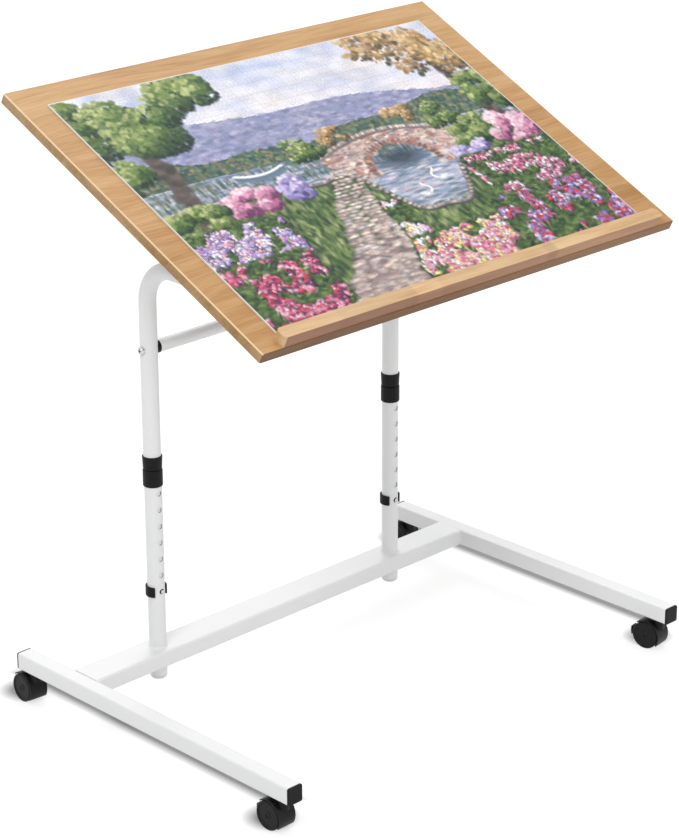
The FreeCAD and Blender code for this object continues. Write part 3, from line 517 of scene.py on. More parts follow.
def model_puzzle():
    """Fine grid for the print; its rim is drawn down to the board and closed below."""
    bpy.ops.object.select_all(action="DESELECT")
    bpy.ops.mesh.primitive_grid_add(x_subdivisions=columns, y_subdivisions=rows, size=1.0)
    sheet = bpy.context.object
    sheet.name = "puzzle_sheet"
    middle = ((puzzle_left + puzzle_right) / 2, puzzle_front + puzzle_deep / 2, board_face + card)
    bpy.ops.object.mode_set(mode="EDIT")
    bpy.ops.mesh.select_mode(type="EDGE")
    bpy.ops.mesh.select_all(action="SELECT")
    bpy.ops.transform.resize(value=(puzzle_wide, puzzle_deep, 1.0))
    bpy.ops.transform.translate(value=middle)
    bpy.ops.mesh.select_all(action="DESELECT")
    bpy.ops.mesh.select_non_manifold()
    bpy.ops.mesh.extrude_edges_move(TRANSFORM_OT_translate={"value": (0, 0, -card)})
    bpy.ops.mesh.edge_face_add()
    bpy.ops.mesh.select_all(action="SELECT")
    bpy.ops.mesh.normals_make_consistent(inside=False)
    bpy.ops.object.mode_set(mode="OBJECT")
    return sheet


puzzle = model_puzzle()
heights = [v.co.z for v in puzzle.data.vertices]
thickness = round(max(heights) - min(heights), 4)
print("puzzle sheet", len(puzzle.data.polygons), "faces,", thickness, "m thick")

# %% [markdown]
# The picture is painted in layers from far to near. Soft noise shades the broad parts, and many
# thousands of small oval dabs, each in a tone picked from a short palette, give leaves, stones,
# ripples and petals. Places and sizes are in picture heights, and one seeded source of random
# numbers makes every run paint the same picture.

# %% Paint helpers
paint_random = np.random.default_rng(29)
tall, wide = rows + 1, columns + 1
aspect = puzzle_wide / puzzle_deep
across, upward = np.meshgrid(np.linspace(0, aspect, wide), np.linspace(0, 1, tall))
canvas = np.zeros((tall, wide, 3))


def soft_noise(cells_across, cells_up):
    """Smooth random field between 0 and 1 over the whole picture."""
    grid = paint_random.random((cells_up + 2, cells_across + 2))
    x, y = across / aspect * cells_across, upward * cells_up
    i, j = x.astype(int), y.astype(int)
    fx, fy = x - i, y - j
    fx, fy = fx * fx * (3 - 2 * fx), fy * fy * (3 - 2 * fy)
    lower = grid[j, i] * (1 - fx) + grid[j, i + 1] * fx
    upper = grid[j + 1, i] * (1 - fx) + grid[j + 1, i + 1] * fx
    return lower * (1 - fy) + upper * fy


def wash(mask, dark, light, shade):
    """Covers the masked part of the canvas with a colour between dark and light."""
    colour = np.array(dark) + (np.array(light) - np.array(dark)) * shade[..., None]
    canvas[:] = canvas * (1 - mask[..., None]) + colour * mask[..., None]


def dab(x, y, long, short, angle, colour, cover=0.9):
    """One oval stroke with a soft edge on the canvas."""
    reach = max(long, short) * 1.3
    c0 = max(int((x - reach) / aspect * (wide - 1)), 0)
    c1 = int((x + reach) / aspect * (wide - 1)) + 2
    r0 = max(int((y - reach) * (tall - 1)), 0)
    r1 = int((y + reach) * (tall - 1)) + 2
    if c1 <= c0 or r1 <= r0:
        return
    dx, dy = across[r0:r1, c0:c1] - x, upward[r0:r1, c0:c1] - y
    u = (dx * math.cos(angle) + dy * math.sin(angle)) / long
    v = (dy * math.cos(angle) - dx * math.sin(angle)) / short
    mask = np.clip(1.35 - np.hypot(u, v) * 1.1, 0, 1)[..., None] * cover
    canvas[r0:r1, c0:c1] = canvas[r0:r1, c0:c1] * (1 - mask) + np.array(colour) * mask


def shaded(colour, amount):
    return tuple(min(1.0, max(0.0, channel * amount)) for channel in colour)


def varied(colour):
    """The colour, a little lighter or darker by chance."""
    return shaded(colour, 0.82 + 0.36 * paint_random.random())


def pick(tones):
    """One of the tones, varied."""
    return varied(tones[int(len(tones) * paint_random.random())])


def scatter(count, box, tones, size, stretch=1.4, lean=(0.0, math.pi), cover=0.85, keep=None):
    """Dabs all over a box (left, bottom, right, top), the far ones first and smaller."""
    left, bottom, right, top = box
    spots = paint_random.random((count, 2)) * (right - left, top - bottom) + (left, bottom)
    for x, y in spots[np.argsort(-spots[:, 1])]:
        short = size * (0.7 + 0.6 * paint_random.random()) * (1.3 - 0.6 * y)
        angle = lean[0] + (lean[1] - lean[0]) * paint_random.random()
        if keep is None or keep(x, y):
            dab(x, y, short * stretch, short, angle, pick(tones), cover)


print("canvas", wide, "by", tall)

# %% [markdown]
# A painter mixes a few tones for each subject before starting. Each list below runs over the
# shades of one subject, in display values; single colours serve flowers, boat and swans.

# %% Palettes
cloud = [(0.95, 0.92, 0.93), (0.87, 0.84, 0.91), (0.74, 0.75, 0.88), (0.97, 0.91, 0.88)]
hill = [(0.47, 0.45, 0.60), (0.58, 0.55, 0.70), (0.42, 0.44, 0.54), (0.68, 0.62, 0.73)]
far_wood = [(0.16, 0.22, 0.17), (0.26, 0.33, 0.21), (0.37, 0.41, 0.26), (0.22, 0.28, 0.29),
            (0.50, 0.42, 0.28)]
water = [(0.74, 0.73, 0.82), (0.55, 0.58, 0.68), (0.40, 0.44, 0.52), (0.86, 0.82, 0.86),
         (0.32, 0.37, 0.36), (0.76, 0.66, 0.70)]
stone = [(0.82, 0.69, 0.61), (0.70, 0.57, 0.52), (0.90, 0.80, 0.72), (0.58, 0.47, 0.44),
         (0.78, 0.71, 0.69)]
brick = [(0.66, 0.40, 0.31), (0.78, 0.52, 0.42), (0.54, 0.32, 0.26)]
grass = [(0.16, 0.22, 0.10), (0.30, 0.36, 0.15), (0.43, 0.47, 0.22), (0.58, 0.58, 0.34),
         (0.12, 0.16, 0.10)]
green = [(0.07, 0.11, 0.06), (0.15, 0.21, 0.09), (0.26, 0.33, 0.13), (0.42, 0.47, 0.21),
         (0.64, 0.65, 0.36)]
autumn = [(0.26, 0.20, 0.12), (0.46, 0.33, 0.18), (0.68, 0.50, 0.28), (0.84, 0.68, 0.46)]
blossom = [(0.34, 0.14, 0.24), (0.62, 0.30, 0.42), (0.84, 0.52, 0.62), (0.95, 0.78, 0.82)]
lilac = [(0.26, 0.20, 0.36), (0.46, 0.38, 0.60), (0.64, 0.55, 0.77), (0.82, 0.75, 0.90)]
red, pink, white = (0.74, 0.16, 0.22), (0.92, 0.60, 0.68), (0.97, 0.96, 0.95)
rose, violet, gold = (0.82, 0.32, 0.44), (0.50, 0.36, 0.64), (0.93, 0.78, 0.42)
print("eleven palettes and six single colours")

# %% [markdown]
# The far scene comes first: sky with clouds, two ridges of hills and the lake. Each part is a wash
# up to a wavy line and a layer of dabs that keep below the same line, long and level on the water.

# %% Paint sky, hills and lake
shore, level = 0.575, (-0.05, 0.05)


def far_ridge(x):
    return 0.755 + 0.040 * np.sin(3.1 * x + 0.4) + 0.016 * np.sin(8.3 * x)


def near_ridge(x):
    return 0.655 + 0.028 * np.sin(4.7 * x + 2.0) + 0.012 * np.sin(17.0 * x)


def paint_sky():
    everywhere, height = np.ones_like(across), np.clip((upward - 0.7) * 3.2, 0, 1)
    wash(everywhere, (0.95, 0.88, 0.87), (0.62, 0.68, 0.84), height)
    scatter(800, (0, 0.72, aspect, 1.0), cloud, size=0.030, stretch=2.2,
            lean=(-0.3, 0.3), cover=0.32)


def paint_hills():
    far, near = upward < far_ridge(across), upward < near_ridge(across)
    wash(far * 0.95, (0.42, 0.42, 0.56), (0.70, 0.66, 0.76), soft_noise(14, 10))
    scatter(1800, (0, 0.60, aspect, 0.82), hill, size=0.009, stretch=2.0,
            lean=(-0.4, 0.4), cover=0.6, keep=lambda x, y: y < far_ridge(x))
    wash(near * 1.0, far_wood[0], far_wood[1], soft_noise(30, 20))
    scatter(3000, (0, 0.55, aspect, 0.70), far_wood, size=0.009, stretch=1.2,
            keep=lambda x, y: y < near_ridge(x))


def paint_lake():
    lake = upward < shore + 0.006 * np.sin(7 * across)
    wash(lake * 1.0, water[2], water[0], soft_noise(5, 40))
    scatter(3200, (0, 0.20, aspect, 0.57), water, size=0.0055, stretch=4.0, lean=level, cover=0.6)
    scatter(900, (0, 0.49, aspect, shore), far_wood, size=0.006, stretch=2.4,
            lean=(1.45, 1.7), cover=0.5)


paint_sky()
paint_hills()
paint_lake()
print("sky, hills, wood and lake painted")

# %% [markdown]
# The stone bridge is a patch of stone dabs that leaves out a round arch and stops at the deck's
# curve. Rows of single stones follow the arch and the deck, each on a darker dab, so that it
# stands off from its neighbours.

# %% Paint the stone bridge
bridge_x, bridge_y, bridge_half, bridge_reach = 0.88, 0.44, 0.25, 0.12
arch_stones, deck_stones = 25, 46
arch_shade, arch_joint, deck_joint = (0.13, 0.15, 0.17), (0.30, 0.22, 0.20), (0.36, 0.29, 0.27)


def deck(x):
    return 0.545 + 0.055 * np.cos((x - bridge_x) * 6.0)


def on_wall(x, y):
    from_arch = math.hypot(x - bridge_x, (y - bridge_y) / 0.8)
    return from_arch > bridge_reach and y < deck(x)


def paint_bridge():
    left, right = bridge_x - bridge_half, bridge_x + bridge_half
    box, courses = (left, 0.42, right, 0.61), (-0.12, 0.12)
    scatter(900, box, stone + brick[:1], size=0.010, stretch=1.6, lean=courses,
            cover=0.95, keep=on_wall)
    scatter(260, box, brick, size=0.004, stretch=1.6, lean=courses, cover=0.7, keep=on_wall)
    dab(bridge_x, bridge_y + 0.035, bridge_reach * 0.85, 0.045, 0.0, arch_shade, 0.85)
    for k in range(arch_stones):
        angle = math.pi * k / (arch_stones - 1)
        x = bridge_x + 1.08 * bridge_reach * math.cos(angle)
        y = bridge_y + 0.87 * bridge_reach * math.sin(angle)
        dab(x, y, 0.014, 0.008, angle, arch_joint, 0.9)
        dab(x, y, 0.012, 0.0062, angle, pick(brick), 0.95)
    for k in range(deck_stones):
        x = left + (right - left) * k / (deck_stones - 1)
        dab(x, deck(x) - 0.003, 0.009, 0.011, 0.0, deck_joint, 0.9)
        dab(x, deck(x) + 0.004, 0.0075, 0.009, 0.0, pick(stone), 0.95)


paint_bridge()
print("bridge painted with", arch_stones + deck_stones, "single stones")

# %% [markdown]
# The banks are a green wash up to a shore line that dips at the bridge, where the pond lies. The
# path is made of rows of slabs that grow towards the reader, which gives the picture its depth.

# %% Paint banks and path
bank_stones, path_rows, path_top = 170, 44, 0.46
bank_joint, path_joint = (0.25, 0.22, 0.20), (0.38, 0.30, 0.29)


def bank(x):
    pond = np.exp(-((x - bridge_x) / 0.17) ** 4)
    return 0.475 - 0.23 * pond + 0.012 * np.sin(9 * x) + 0.006 * np.sin(31 * x)


def path_place(y):
    """Middle and half width of the path at a height."""
    return 0.40 + 0.62 * y + 0.035 * math.sin(11 * y), 0.135 * (1 - 1.55 * y) + 0.012


def on_path(x, y):
    middle, half = path_place(y)
    return abs(x - middle) < half and y < 0.47


def paint_banks():
    land = np.clip((bank(across) - upward) * 90, 0, 1)
    wash(land, grass[0], grass[2], soft_noise(26, 20))
    scatter(5200, (0, 0, aspect, 0.50), grass, size=0.0075, stretch=2.2,
            lean=(1.1, 2.0), cover=0.75, keep=lambda x, y: y < bank(x))
    for k in range(bank_stones):
        x = aspect * k / (bank_stones - 1)
        dab(x, bank(x) - 0.004, 0.014, 0.010, 0.0, bank_joint, 0.8)
        dab(x, bank(x) + 0.002, 0.010, 0.007, 0.2, pick(stone), 0.9)


def paint_path():
    for row in range(path_rows):
        y = (1 - row / path_rows) ** 1.35 * path_top
        middle, half = path_place(y)
        high = 0.004 + 0.012 * (1 - 1.9 * y)
        slabs = 4 + row % 2
        for slab in range(slabs):
            x = middle + half * (2 * (slab + 0.25 + 0.5 * paint_random.random()) / slabs - 1)
            turn = 0.3 * paint_random.random() - 0.15
            dab(x, y, half * 0.29, high, turn, path_joint, 0.85)
            dab(x, y + 0.003, half * 0.24, high * 0.78, turn, pick(stone), 0.95)
    scatter(900, (0.2, 0, 0.9, path_top), stone, size=0.005, stretch=2.0,
            lean=(-0.3, 0.3), cover=0.55, keep=on_path)


paint_banks()
paint_path()
print("banks and path painted")

# %% [markdown]
# A rowing boat and two swans give the lake a scale. They are only a few strokes each: a curved row
# of dabs for the hull, two ovals and a bent neck for a bird.

# %% Paint boat and swans
hull, reflection, feathers, beak = (
    (0.34, 0.40, 0.46), (0.30, 0.34, 0.38), (0.84, 0.83, 0.88), (0.86, 0.46, 0.20))
boat_long, boat_dabs, neck_dabs = 0.17, 26, 9


def paint_boat(x, y):
    for k in range(boat_dabs):
        share = k / (boat_dabs - 1)
        sheer = y + 0.016 * (2 * share - 1) ** 2
        dab(x + boat_long * share, sheer - 0.012, 0.011, 0.013, 0.0, hull, 0.95)
        dab(x + boat_long * share, sheer, 0.010, 0.0055, 0.0, white, 0.95)


def paint_swan(x, y, side):
    dab(x, y - 0.010, 0.028, 0.010, 0.0, reflection, 0.7)
    dab(x, y, 0.026, 0.012, -0.2 * side, feathers)
    dab(x, y + 0.004, 0.021, 0.008, -0.25 * side, white)
    for k in range(neck_dabs):
        bend = k / (neck_dabs - 1)
        neck_x = x + side * (0.022 + 0.010 * math.sin(4.4 * bend))
        dab(neck_x, y + 0.006 + 0.038 * bend, 0.0052, 0.0052, 0.0, white)
    dab(x + side * 0.022, y + 0.046, 0.006, 0.003, 0.0, beak)


paint_boat(0.32, 0.548)
paint_swan(0.84, 0.315, 1)
paint_swan(0.95, 0.36, -1)
print("boat and swans painted")

# %% [markdown]
# A tree's crown is a dozen clumps of leaves, painted from the highest to the lowest. A leaf takes a
# lighter tone the further it lies to the upper left of its clump, where the sun comes from, and
# that makes the clumps look round. Bushes are low crowns, some of them in bloom.

# %% Paint trees and bushes
clump_count, trunk_dabs = 12, 90
bark = (0.30, 0.23, 0.19)
# Each row: x, y, half width, half height, leaves, tones
far_crowns = [
    (0.60, 0.60, 0.08, 0.05, 360, green),
    (1.14, 0.60, 0.09, 0.06, 420, green),
    (1.02, 0.635, 0.06, 0.04, 260, autumn),
    (0.74, 0.63, 0.06, 0.04, 260, autumn),
]
near_crowns = [
    (0.12, 0.84, 0.24, 0.17, 2600, green),
    (0.38, 0.92, 0.15, 0.11, 1100, green),
    (0.02, 0.62, 0.11, 0.10, 700, green),
    (1.34, 0.85, 0.18, 0.16, 900, autumn),
    (1.16, 0.93, 0.13, 0.09, 380, autumn),
    (1.40, 0.66, 0.10, 0.10, 600, green),
]
bushes = [
    (1.22, 0.50, 0.11, 0.08, 800, green),
    (1.36, 0.47, 0.10, 0.09, 800, blossom),
    (1.13, 0.42, 0.08, 0.06, 560, lilac),
    (0.30, 0.47, 0.10, 0.06, 620, blossom),
    (0.10, 0.42, 0.13, 0.07, 800, green),
    (0.45, 0.47, 0.06, 0.05, 360, lilac),
]


def either_way():
    """A random number between -1 and 1."""
    return paint_random.random() * 2 - 1


def paint_crown(x, y, half, high, leaves, tones, size):
    clumps = [(either_way() * half * 0.7, either_way() * high * 0.7) for _ in range(clump_count)]
    for clump_x, clump_y in sorted(clumps, key=lambda clump: -clump[1]):
        for _ in range(leaves // clump_count):
            angle, far = 2 * math.pi * paint_random.random(), paint_random.random() ** 0.6
            sun = 0.45 + 0.45 * (0.8 * math.sin(angle) - 0.6 * math.cos(angle)) * far
            sun += 0.12 * clump_y / high
            place = (sun + 0.3 * paint_random.random() - 0.12) * len(tones)
            tone = tones[int(np.clip(place, 0, len(tones) - 1))]
            short = size * (0.6 + 0.7 * paint_random.random())
            leaf_x = x + clump_x + 0.38 * half * far * math.cos(angle)
            leaf_y = y + clump_y + 0.38 * high * far * math.sin(angle)
            turn = math.pi * paint_random.random()
            dab(leaf_x, leaf_y, short * 1.3, short, turn, varied(tone))


def paint_trunk(x, low, high, width, lean):
    for k in range(trunk_dabs):
        share = k / (trunk_dabs - 1)
        tone = shaded(bark, 0.6 + 0.8 * paint_random.random())
        side = width * (1.2 - 0.6 * share) * (paint_random.random() - 0.5)
        dab(x + lean * share ** 2 + side, low + (high - low) * share,
            0.020, width * 0.45, 1.5, tone)


for crown in far_crowns:
    paint_crown(*crown, size=0.006)
paint_trunk(0.12, low=0.36, high=0.84, width=0.050, lean=0.05)
paint_trunk(1.36, low=0.40, high=0.90, width=0.034, lean=-0.05)
for crown in near_crowns:
    paint_crown(*crown, size=0.009)
for crown in bushes:
    paint_crown(*crown, size=0.0085)
print(len(far_crowns) + len(near_crowns), "trees and", len(bushes), "bushes painted")

# %% [markdown]
# The flower beds come last, since they stand nearest. Dark leaves fill a bed, then blooms are set
# in patches that a soft noise chooses. Each bloom has a dark dab below, its own colour and a small
# light, and more than half of them get a leaf in front.

# %% Paint the flower beds
patch_level, bank_margin, leaf_luck = 0.46, 0.015, 0.4
# Each row: box (left, bottom, right, top), petal colours, blooms
beds = [
    ((0.00, 0.24, 0.33, 0.39), (violet, lilac[2], white, pink), 900),
    ((1.06, 0.22, aspect, 0.41), (rose, pink, white, blossom[1]), 1100),
    ((0.56, 0.10, 0.73, 0.33), (white, gold, pink, lilac[3]), 600),
    ((0.00, 0.00, 0.31, 0.25), (red, rose, pink, blossom[0]), 1300),
    ((0.60, 0.00, 1.02, 0.17), (pink, white, rose, gold), 1200),
    ((1.00, 0.00, aspect, 0.23), (violet, lilac[3], blossom[1], red), 1500),
]


def in_soil(x, y):
    return not on_path(x, y) and y < bank(x) - bank_margin


def paint_bed(box, petals, count):
    left, bottom, right, top = box
    patches = soft_noise(34, 24)
    scatter(count * 2, box, green[:4], size=0.008, stretch=2.0, cover=0.8, keep=in_soil)
    spans, corner = (right - left, top - bottom, 1, 1), (left, bottom, 0, 0)
    spots = paint_random.random((count, 4)) * spans + corner
    for x, y, turn, luck in spots[np.argsort(-spots[:, 1])]:
        patch = patches[int(y * (tall - 1)), int(x / aspect * (wide - 1))]
        if patch < patch_level or not in_soil(x, y):
            continue
        petal, short = pick(petals), (0.0045 + 0.0055 * luck) * (1.25 - 1.2 * y)
        dark, light, angle = shaded(petal, 0.42), shaded(petal, 1.2), turn * 3
        dab(x + 0.003, y - 0.005, short * 1.6, short, angle, dark, 0.85)
        dab(x, y, short * 1.5, short * 0.8, angle, petal, 0.9)
        dab(x - 0.002, y + 0.002, short * 0.7, short * 0.35, angle, light, 0.7)
        if luck > leaf_luck:
            dab(x + 0.03 * (turn - 0.5), y - 0.010, short * 1.6, short * 0.5, turn * 6,
                pick(green), 0.85)


for bed in beds:
    paint_bed(*bed)
print("flowers painted in", len(beds), "beds")

# %% [markdown]
# Lighter middle tones and a little more blue bring the paint to the faded softness of a printed
# card. The difference from a blurred copy is added on top, which sharpens every stroke.

# %% Varnish the picture
fading, sharpening = (0.84, 0.76, 0.70), 0.6


def blurred(field):
    padded = np.pad(field, ((1, 1), (1, 1), (0, 0)), mode="edge")
    return sum(padded[i:i + tall, j:j + wide] for i in range(3) for j in range(3)) / 9


canvas = np.clip(canvas, 0, 1) ** np.array(fading)
canvas = np.clip(canvas + sharpening * (canvas - blurred(canvas)), 0, 1)
print("mean colour", [round(float(c), 3) for c in canvas.mean((0, 1))])

# %% [markdown]
# The picture was mixed in display values, so it is turned into linear light before it goes on the
# mesh. Every vertex of the grid takes the colour of its own point of the canvas, and then the sheet
# is turned to the board's tilt. Applying that turn keeps the piece's own origin at the world's.

# %% Put the paint on the sheet
linear = np.where(canvas <= 0.04045, canvas / 12.92, ((canvas + 0.055) / 1.055) ** 2.4)


def lay_print(sheet):
    count = len(sheet.data.vertices)
    places = np.zeros(count * 3, np.float32)
    sheet.data.vertices.foreach_get("co", places)
    places = places.reshape(-1, 3)
    column = np.rint((places[:, 0] - puzzle_left) / puzzle_wide * (wide - 1)).astype(int)
    row = np.rint((places[:, 1] - puzzle_front) / puzzle_deep * (tall - 1)).astype(int)
    colours = np.ones((count, 4), np.float32)
    colours[:, :3] = linear[np.clip(row, 0, tall - 1), np.clip(column, 0, wide - 1)]
    layer = sheet.data.color_attributes.new("print", "FLOAT_COLOR", "POINT")
    layer.data.foreach_set("color", colours.ravel())
    sheet.rotation_euler = (tilt, 0, 0)
    sheet.location = pivot
    bpy.ops.object.select_all(action="DESELECT")
    sheet.select_set(True)
    bpy.context.view_layer.objects.active = sheet
    bpy.ops.object.transform_apply(location=True, rotation=True, scale=True)
    return count


print("print laid on", lay_print(puzzle), "vertices")

# %% [markdown]
# The card's finish reads the painted attribute. A die cuts the card into interlocking pieces:
# straight cuts with a round tongue in the middle of each side, alternately to one side and the
# other. The distance to the nearest cut is worked out with math nodes and gives a fine groove; a
# cut that isn't there at a place is pushed a whole metre away. The outer rim and the sides are bare
# paper.

# %% Distance to the cuts
pieces_across, pieces_deep = 30, 21
piece_wide, piece_deep = puzzle_wide / pieces_across, puzzle_deep / pieces_deep
tongue_size, tongue_shift, neck_share = 0.15, 0.17, 0.55


def cut_distance(tree, along, beside, pitch_along, pitch_beside):
    """Distance to the cuts that run along one direction, with their tongues."""
    line = maths(tree, "ROUND", maths(tree, "DIVIDE", beside, pitch_beside))
    off = minus(tree, beside, times(tree, line, pitch_beside))
    cell = maths(tree, "FLOOR", maths(tree, "DIVIDE", along, pitch_along))
    middle = times(tree, maths(tree, "ADD", cell, 0.5), pitch_along)
    run = minus(tree, along, middle)
    odd = maths(tree, "FLOORED_MODULO", maths(tree, "ADD", line, cell), 2.0)
    sign = maths(tree, "MULTIPLY_ADD", odd, 2.0, -1.0)
    radius = pitch_beside * tongue_size
    shift = times(tree, sign, pitch_beside * tongue_shift)
    from_tongue = joined_length(tree, minus(tree, off, shift), run)
    ring = maths(tree, "ABSOLUTE", minus(tree, from_tongue, radius))
    behind = maths(tree, "LESS_THAN", times(tree, off, sign), 0.0)
    neck = maths(tree, "LESS_THAN", maths(tree, "ABSOLUTE", run), radius * neck_share)
    straight = maths(tree, "ADD", maths(tree, "ABSOLUTE", off), neck)
    return maths(tree, "MINIMUM", maths(tree, "ADD", ring, behind), straight)


print("pieces of", round(piece_wide * 1000, 1), "by", round(piece_deep * 1000, 1), "mm")

# %% [markdown]
# The finish mixes three things by their place on the card: the print with a fine brush grain, the
# dark line of the cuts and the bare paper of the rim. The cuts also sink the surface a little. The
# sheet then takes the place of the plain CAD puzzle and rides on the tilting top.

# %% Puzzle finish
groove_core, groove_edge, groove_cover = 0.00012, 0.00042, 0.35
rim_from, rim_to, side_depth = 0.0012, 0.0016, 0.0004
brush_shades = [(0.3, (0.55, 0.55, 0.55)), (0.7, (1.3, 1.3, 1.3))]
paper_shades = [(0.3, (0.70, 0.69, 0.66)), (0.7, (0.82, 0.81, 0.79))]
groove_dark = (0.08, 0.07, 0.06, 1.0)


def print_area(tree, x, y, z, from_left, from_front):
    """0 on the paper rim and the sides of the card, 1 where it is printed."""
    side = maths(tree, "MINIMUM", from_left, minus(tree, puzzle_right, x))
    end = maths(tree, "MINIMUM", from_front, minus(tree, puzzle_front + puzzle_deep, y))
    raised = minus(tree, z, board_face + card - side_depth)
    edge = maths(tree, "MINIMUM", maths(tree, "MINIMUM", side, end), times(tree, raised, 10.0))
    return spread(tree, edge, rim_from, rim_to, 0.0, 1.0)


def puzzle_card():
    material, tree, shader = start_finish("printed_card", IOR=1.45, Specular_IOR_Level=0.18)
    flat = board_place(tree)
    x, y, z = split(tree, flat)
    from_left = minus(tree, x, puzzle_left)
    from_front = minus(tree, y, puzzle_front)
    cuts = maths(tree, "MINIMUM",
                 cut_distance(tree, from_front, from_left, piece_deep, piece_wide),
                 cut_distance(tree, from_left, from_front, piece_wide, piece_deep))
    groove = spread(tree, cuts, groove_core, groove_edge, 1.0, 0.0)
    brush = noise(tree, flat, scale=420.0, detail=3.0, roughness=0.6)
    fibre = noise(tree, flat, scale=900.0, detail=3.0)
    paint = add_node(tree, "ShaderNodeAttribute", attribute_name="print").outputs["Color"]
    paint = tinted(tree, 0.4, paint, ramp(tree, brush, brush_shades))
    line = times(tree, groove, groove_cover)
    paint = mix_colour(tree, line, paint, groove_dark)
    printed = print_area(tree, x, y, z, from_left, from_front)
    shade = mix_colour(tree, printed, ramp(tree, fibre, paper_shades), paint)
    height = minus(tree, times(tree, fibre, 0.12), groove)
    connect(tree, shader, Base_Color=shade, Roughness=spread(tree, brush, 0.3, 0.7, 0.42, 0.54),
            Normal=bump(tree, height, strength=0.25))
    return material


puzzle.data.materials.append(puzzle_card())
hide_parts("jigsaw_puzzle")
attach(puzzle, "tilting_top")
print("puzzle finish given")

# %% [markdown]
# ## Studio floor and world
# A catalogue picture has a white ground with a short shadow. More light would bleach the table, so
# the floor glows instead, but only for the rays that show the background: from the camera, in
# mirrors and through glass. They see a darker floor under the glow. The glow is left out in a band
# beside each rail and a spot at each caster, which paints a dark shadow there, darker than the
# lamps' own soft shadow. All other rays meet plain pale paper, which throws a soft light up to the
# table.

# %% Floor
# floor_shown is the darker floor that background rays see; where the glow is left out it gives the
# painted shadow.
floor_size, floor_bounce, floor_shown = 60.0, 0.80, 0.37
glow_near, glow_far, near_reach, far_reach = 0.72, 0.87, 0.9, 5.0
# Places of the painted shadows: bands beside the rails and spots at the casters.
band_x, band_half_x, band_core, band_edge = 0.0640, 0.3910, 0.011, 0.027
band_y, band_end, band_fade = 0.0646, 0.265, 0.295
spot_x, spot_half_x, spot_y, spot_half_y = 0.0173, 0.3873, 0.0335, 0.2595
spot_core, spot_edge = 0.018, 0.040


def grey(level):
    return level, level, level, 1.0


def shown(tree):
    """1 for the rays that show the background."""
    path = add_node(tree, "ShaderNodeLightPath").outputs
    mirrored = maths(tree, "MAXIMUM", path["Is Glossy Ray"], path["Is Transmission Ray"])
    return maths(tree, "MAXIMUM", path["Is Camera Ray"], mirrored)


def from_lines(tree, value, middle, half):
    """Distance from the nearer of two lines on both sides of a middle."""
    off = maths(tree, "ABSOLUTE", minus(tree, value, middle))
    return maths(tree, "ABSOLUTE", minus(tree, off, half))


def clear_of_shadow(tree, place):
    """0 in the rails' bands and the casters' spots, where the painted shadow lies, 1 elsewhere."""
    x, y, _ = split(tree, place)
    beside = spread(tree, from_lines(tree, x, band_x, band_half_x), band_core, band_edge, 0.0, 1.0)
    beyond = spread(tree, from_lines(tree, y, band_y, 0.0), band_end, band_fade, 0.0, 1.0)
    from_spot = joined_length(tree, from_lines(tree, x, spot_x, spot_half_x),
                              from_lines(tree, y, spot_y, spot_half_y))
    return maths(tree, "MINIMUM", maths(tree, "MAXIMUM", beside, beyond),
                 spread(tree, from_spot, spot_core, spot_edge, 0.0, 1.0))


def studio_floor():
    bpy.ops.mesh.primitive_plane_add(size=floor_size, location=(0, 0, 0))
    floor = bpy.context.object
    floor.name = "studio_floor"
    material, tree, shader = start_finish("studio_white", Roughness=1.0, Specular_IOR_Level=0.0,
                                          Emission_Color=grey(1.0))
    seen, place = shown(tree), object_place(tree)
    paper = mix_colour(tree, seen, grey(floor_bounce), grey(floor_shown))
    strength = spread(tree, vector_length(tree, place), near_reach, far_reach, glow_near, glow_far)
    glow = times(tree, clear_of_shadow(tree, place), strength)
    connect(tree, shader, Base_Color=paper, Emission_Strength=times(tree, seen, glow))
    floor.data.materials.append(material)


studio_floor()
print("floor of", floor_size, "m laid")

# %% [markdown]
# The world is an even white that lights every side a little. The rays that show the background see
# it at full white, and all others at a lower strength, so that the lamps can still model the tubes.

# %% World
world_light, world_shown = 0.6, 1.0


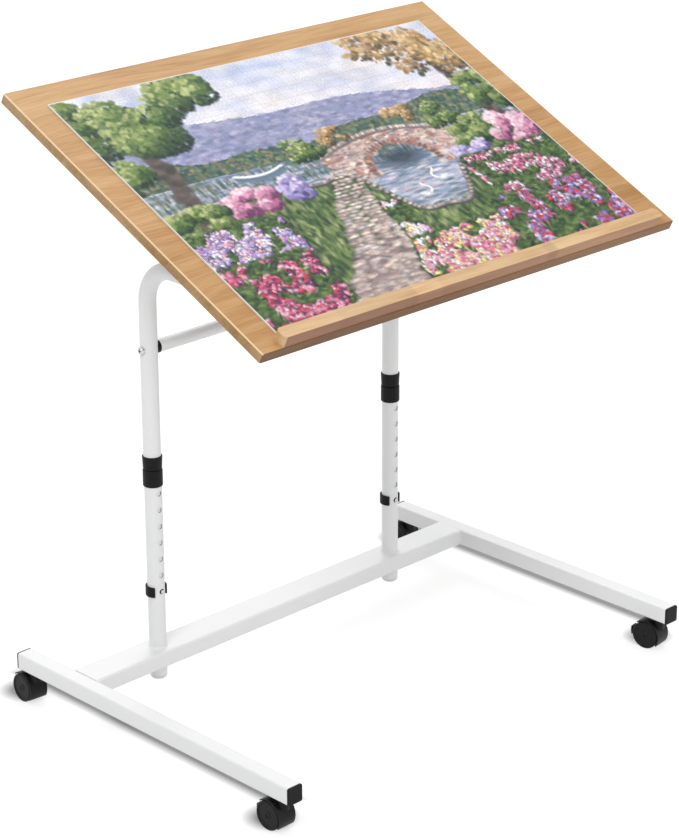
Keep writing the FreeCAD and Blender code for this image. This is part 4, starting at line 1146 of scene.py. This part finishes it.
def studio_world():
    world = bpy.data.worlds.new("studio_world")
    bpy.context.scene.world = world
    world.use_nodes = True
    tree = world.node_tree
    background = tree.nodes["Background"]
    background.inputs["Color"].default_value = grey(1.0)
    strength = spread(tree, shown(tree), 0.0, 1.0, world_light, world_shown)
    connect(tree, background, Strength=strength)


studio_world()
print("world lights at", world_light, "and shows at", world_shown)

# %% [markdown]
# ## Lamps
# Four large square lamps give the soft light of a studio. The key stands to the left, a strong one
# behind lights the rails' upper sides, and weaker ones from above and in front open the shadows.

# %% Lamps
# Each row: name, place, aim, size, power in watts
lamps = [
    ("key_lamp", (-2.6, -1.2, 3.4), (0, 0, 0.45), 1.3, 45.0),
    ("top_lamp", (0.4, 0.2, 3.8), (0, 0, 0.4), 3.2, 22.0),
    ("front_lamp", (0.8, -3.4, 1.9), (0, 0, 0.4), 2.4, 20.0),
    ("back_lamp", (1.7, 2.3, 3.1), (0, 0, 0.2), 2.4, 41.5),
]


def soft_lamp(name, place, aim, size, watts):
    bpy.ops.object.light_add(type="AREA", location=place)
    lamp = bpy.context.object
    lamp.name = name
    lamp.data.shape = "SQUARE"
    lamp.data.size = size
    lamp.data.energy = watts
    heading = np.array(aim) - np.array(place)
    flat = math.hypot(heading[0], heading[1])
    lamp.rotation_euler = (math.atan2(flat, -heading[2]), 0, math.atan2(-heading[0], heading[1]))


for lamp in lamps:
    soft_lamp(*lamp)
print(len(lamps), "soft lamps placed")

# %% [markdown]
# ## Camera
# The camera was solved from straight edges of the top, the rails and the legs, so the render can be
# laid over the photograph. A long lens from some way off keeps the upright lines nearly parallel.

# %% Camera at the photograph's angle
camera_place = (-2.47724, -2.51392, 1.76307)
camera_turn = (69.0184, 0.1602, -44.5880)
bpy.ops.object.camera_add(location=camera_place,
                          rotation=tuple(math.radians(angle) for angle in camera_turn))
camera = bpy.context.object
camera.data.lens = 115.566
camera.data.sensor_width = 36.0
camera.data.shift_x = -0.00904
camera.data.shift_y = -0.00995
camera.data.clip_end = 100.0
bpy.context.scene.camera = camera
bpy.context.scene.view_settings.view_transform = "Standard"
print("camera", [round(v, 3) for v in camera.location])
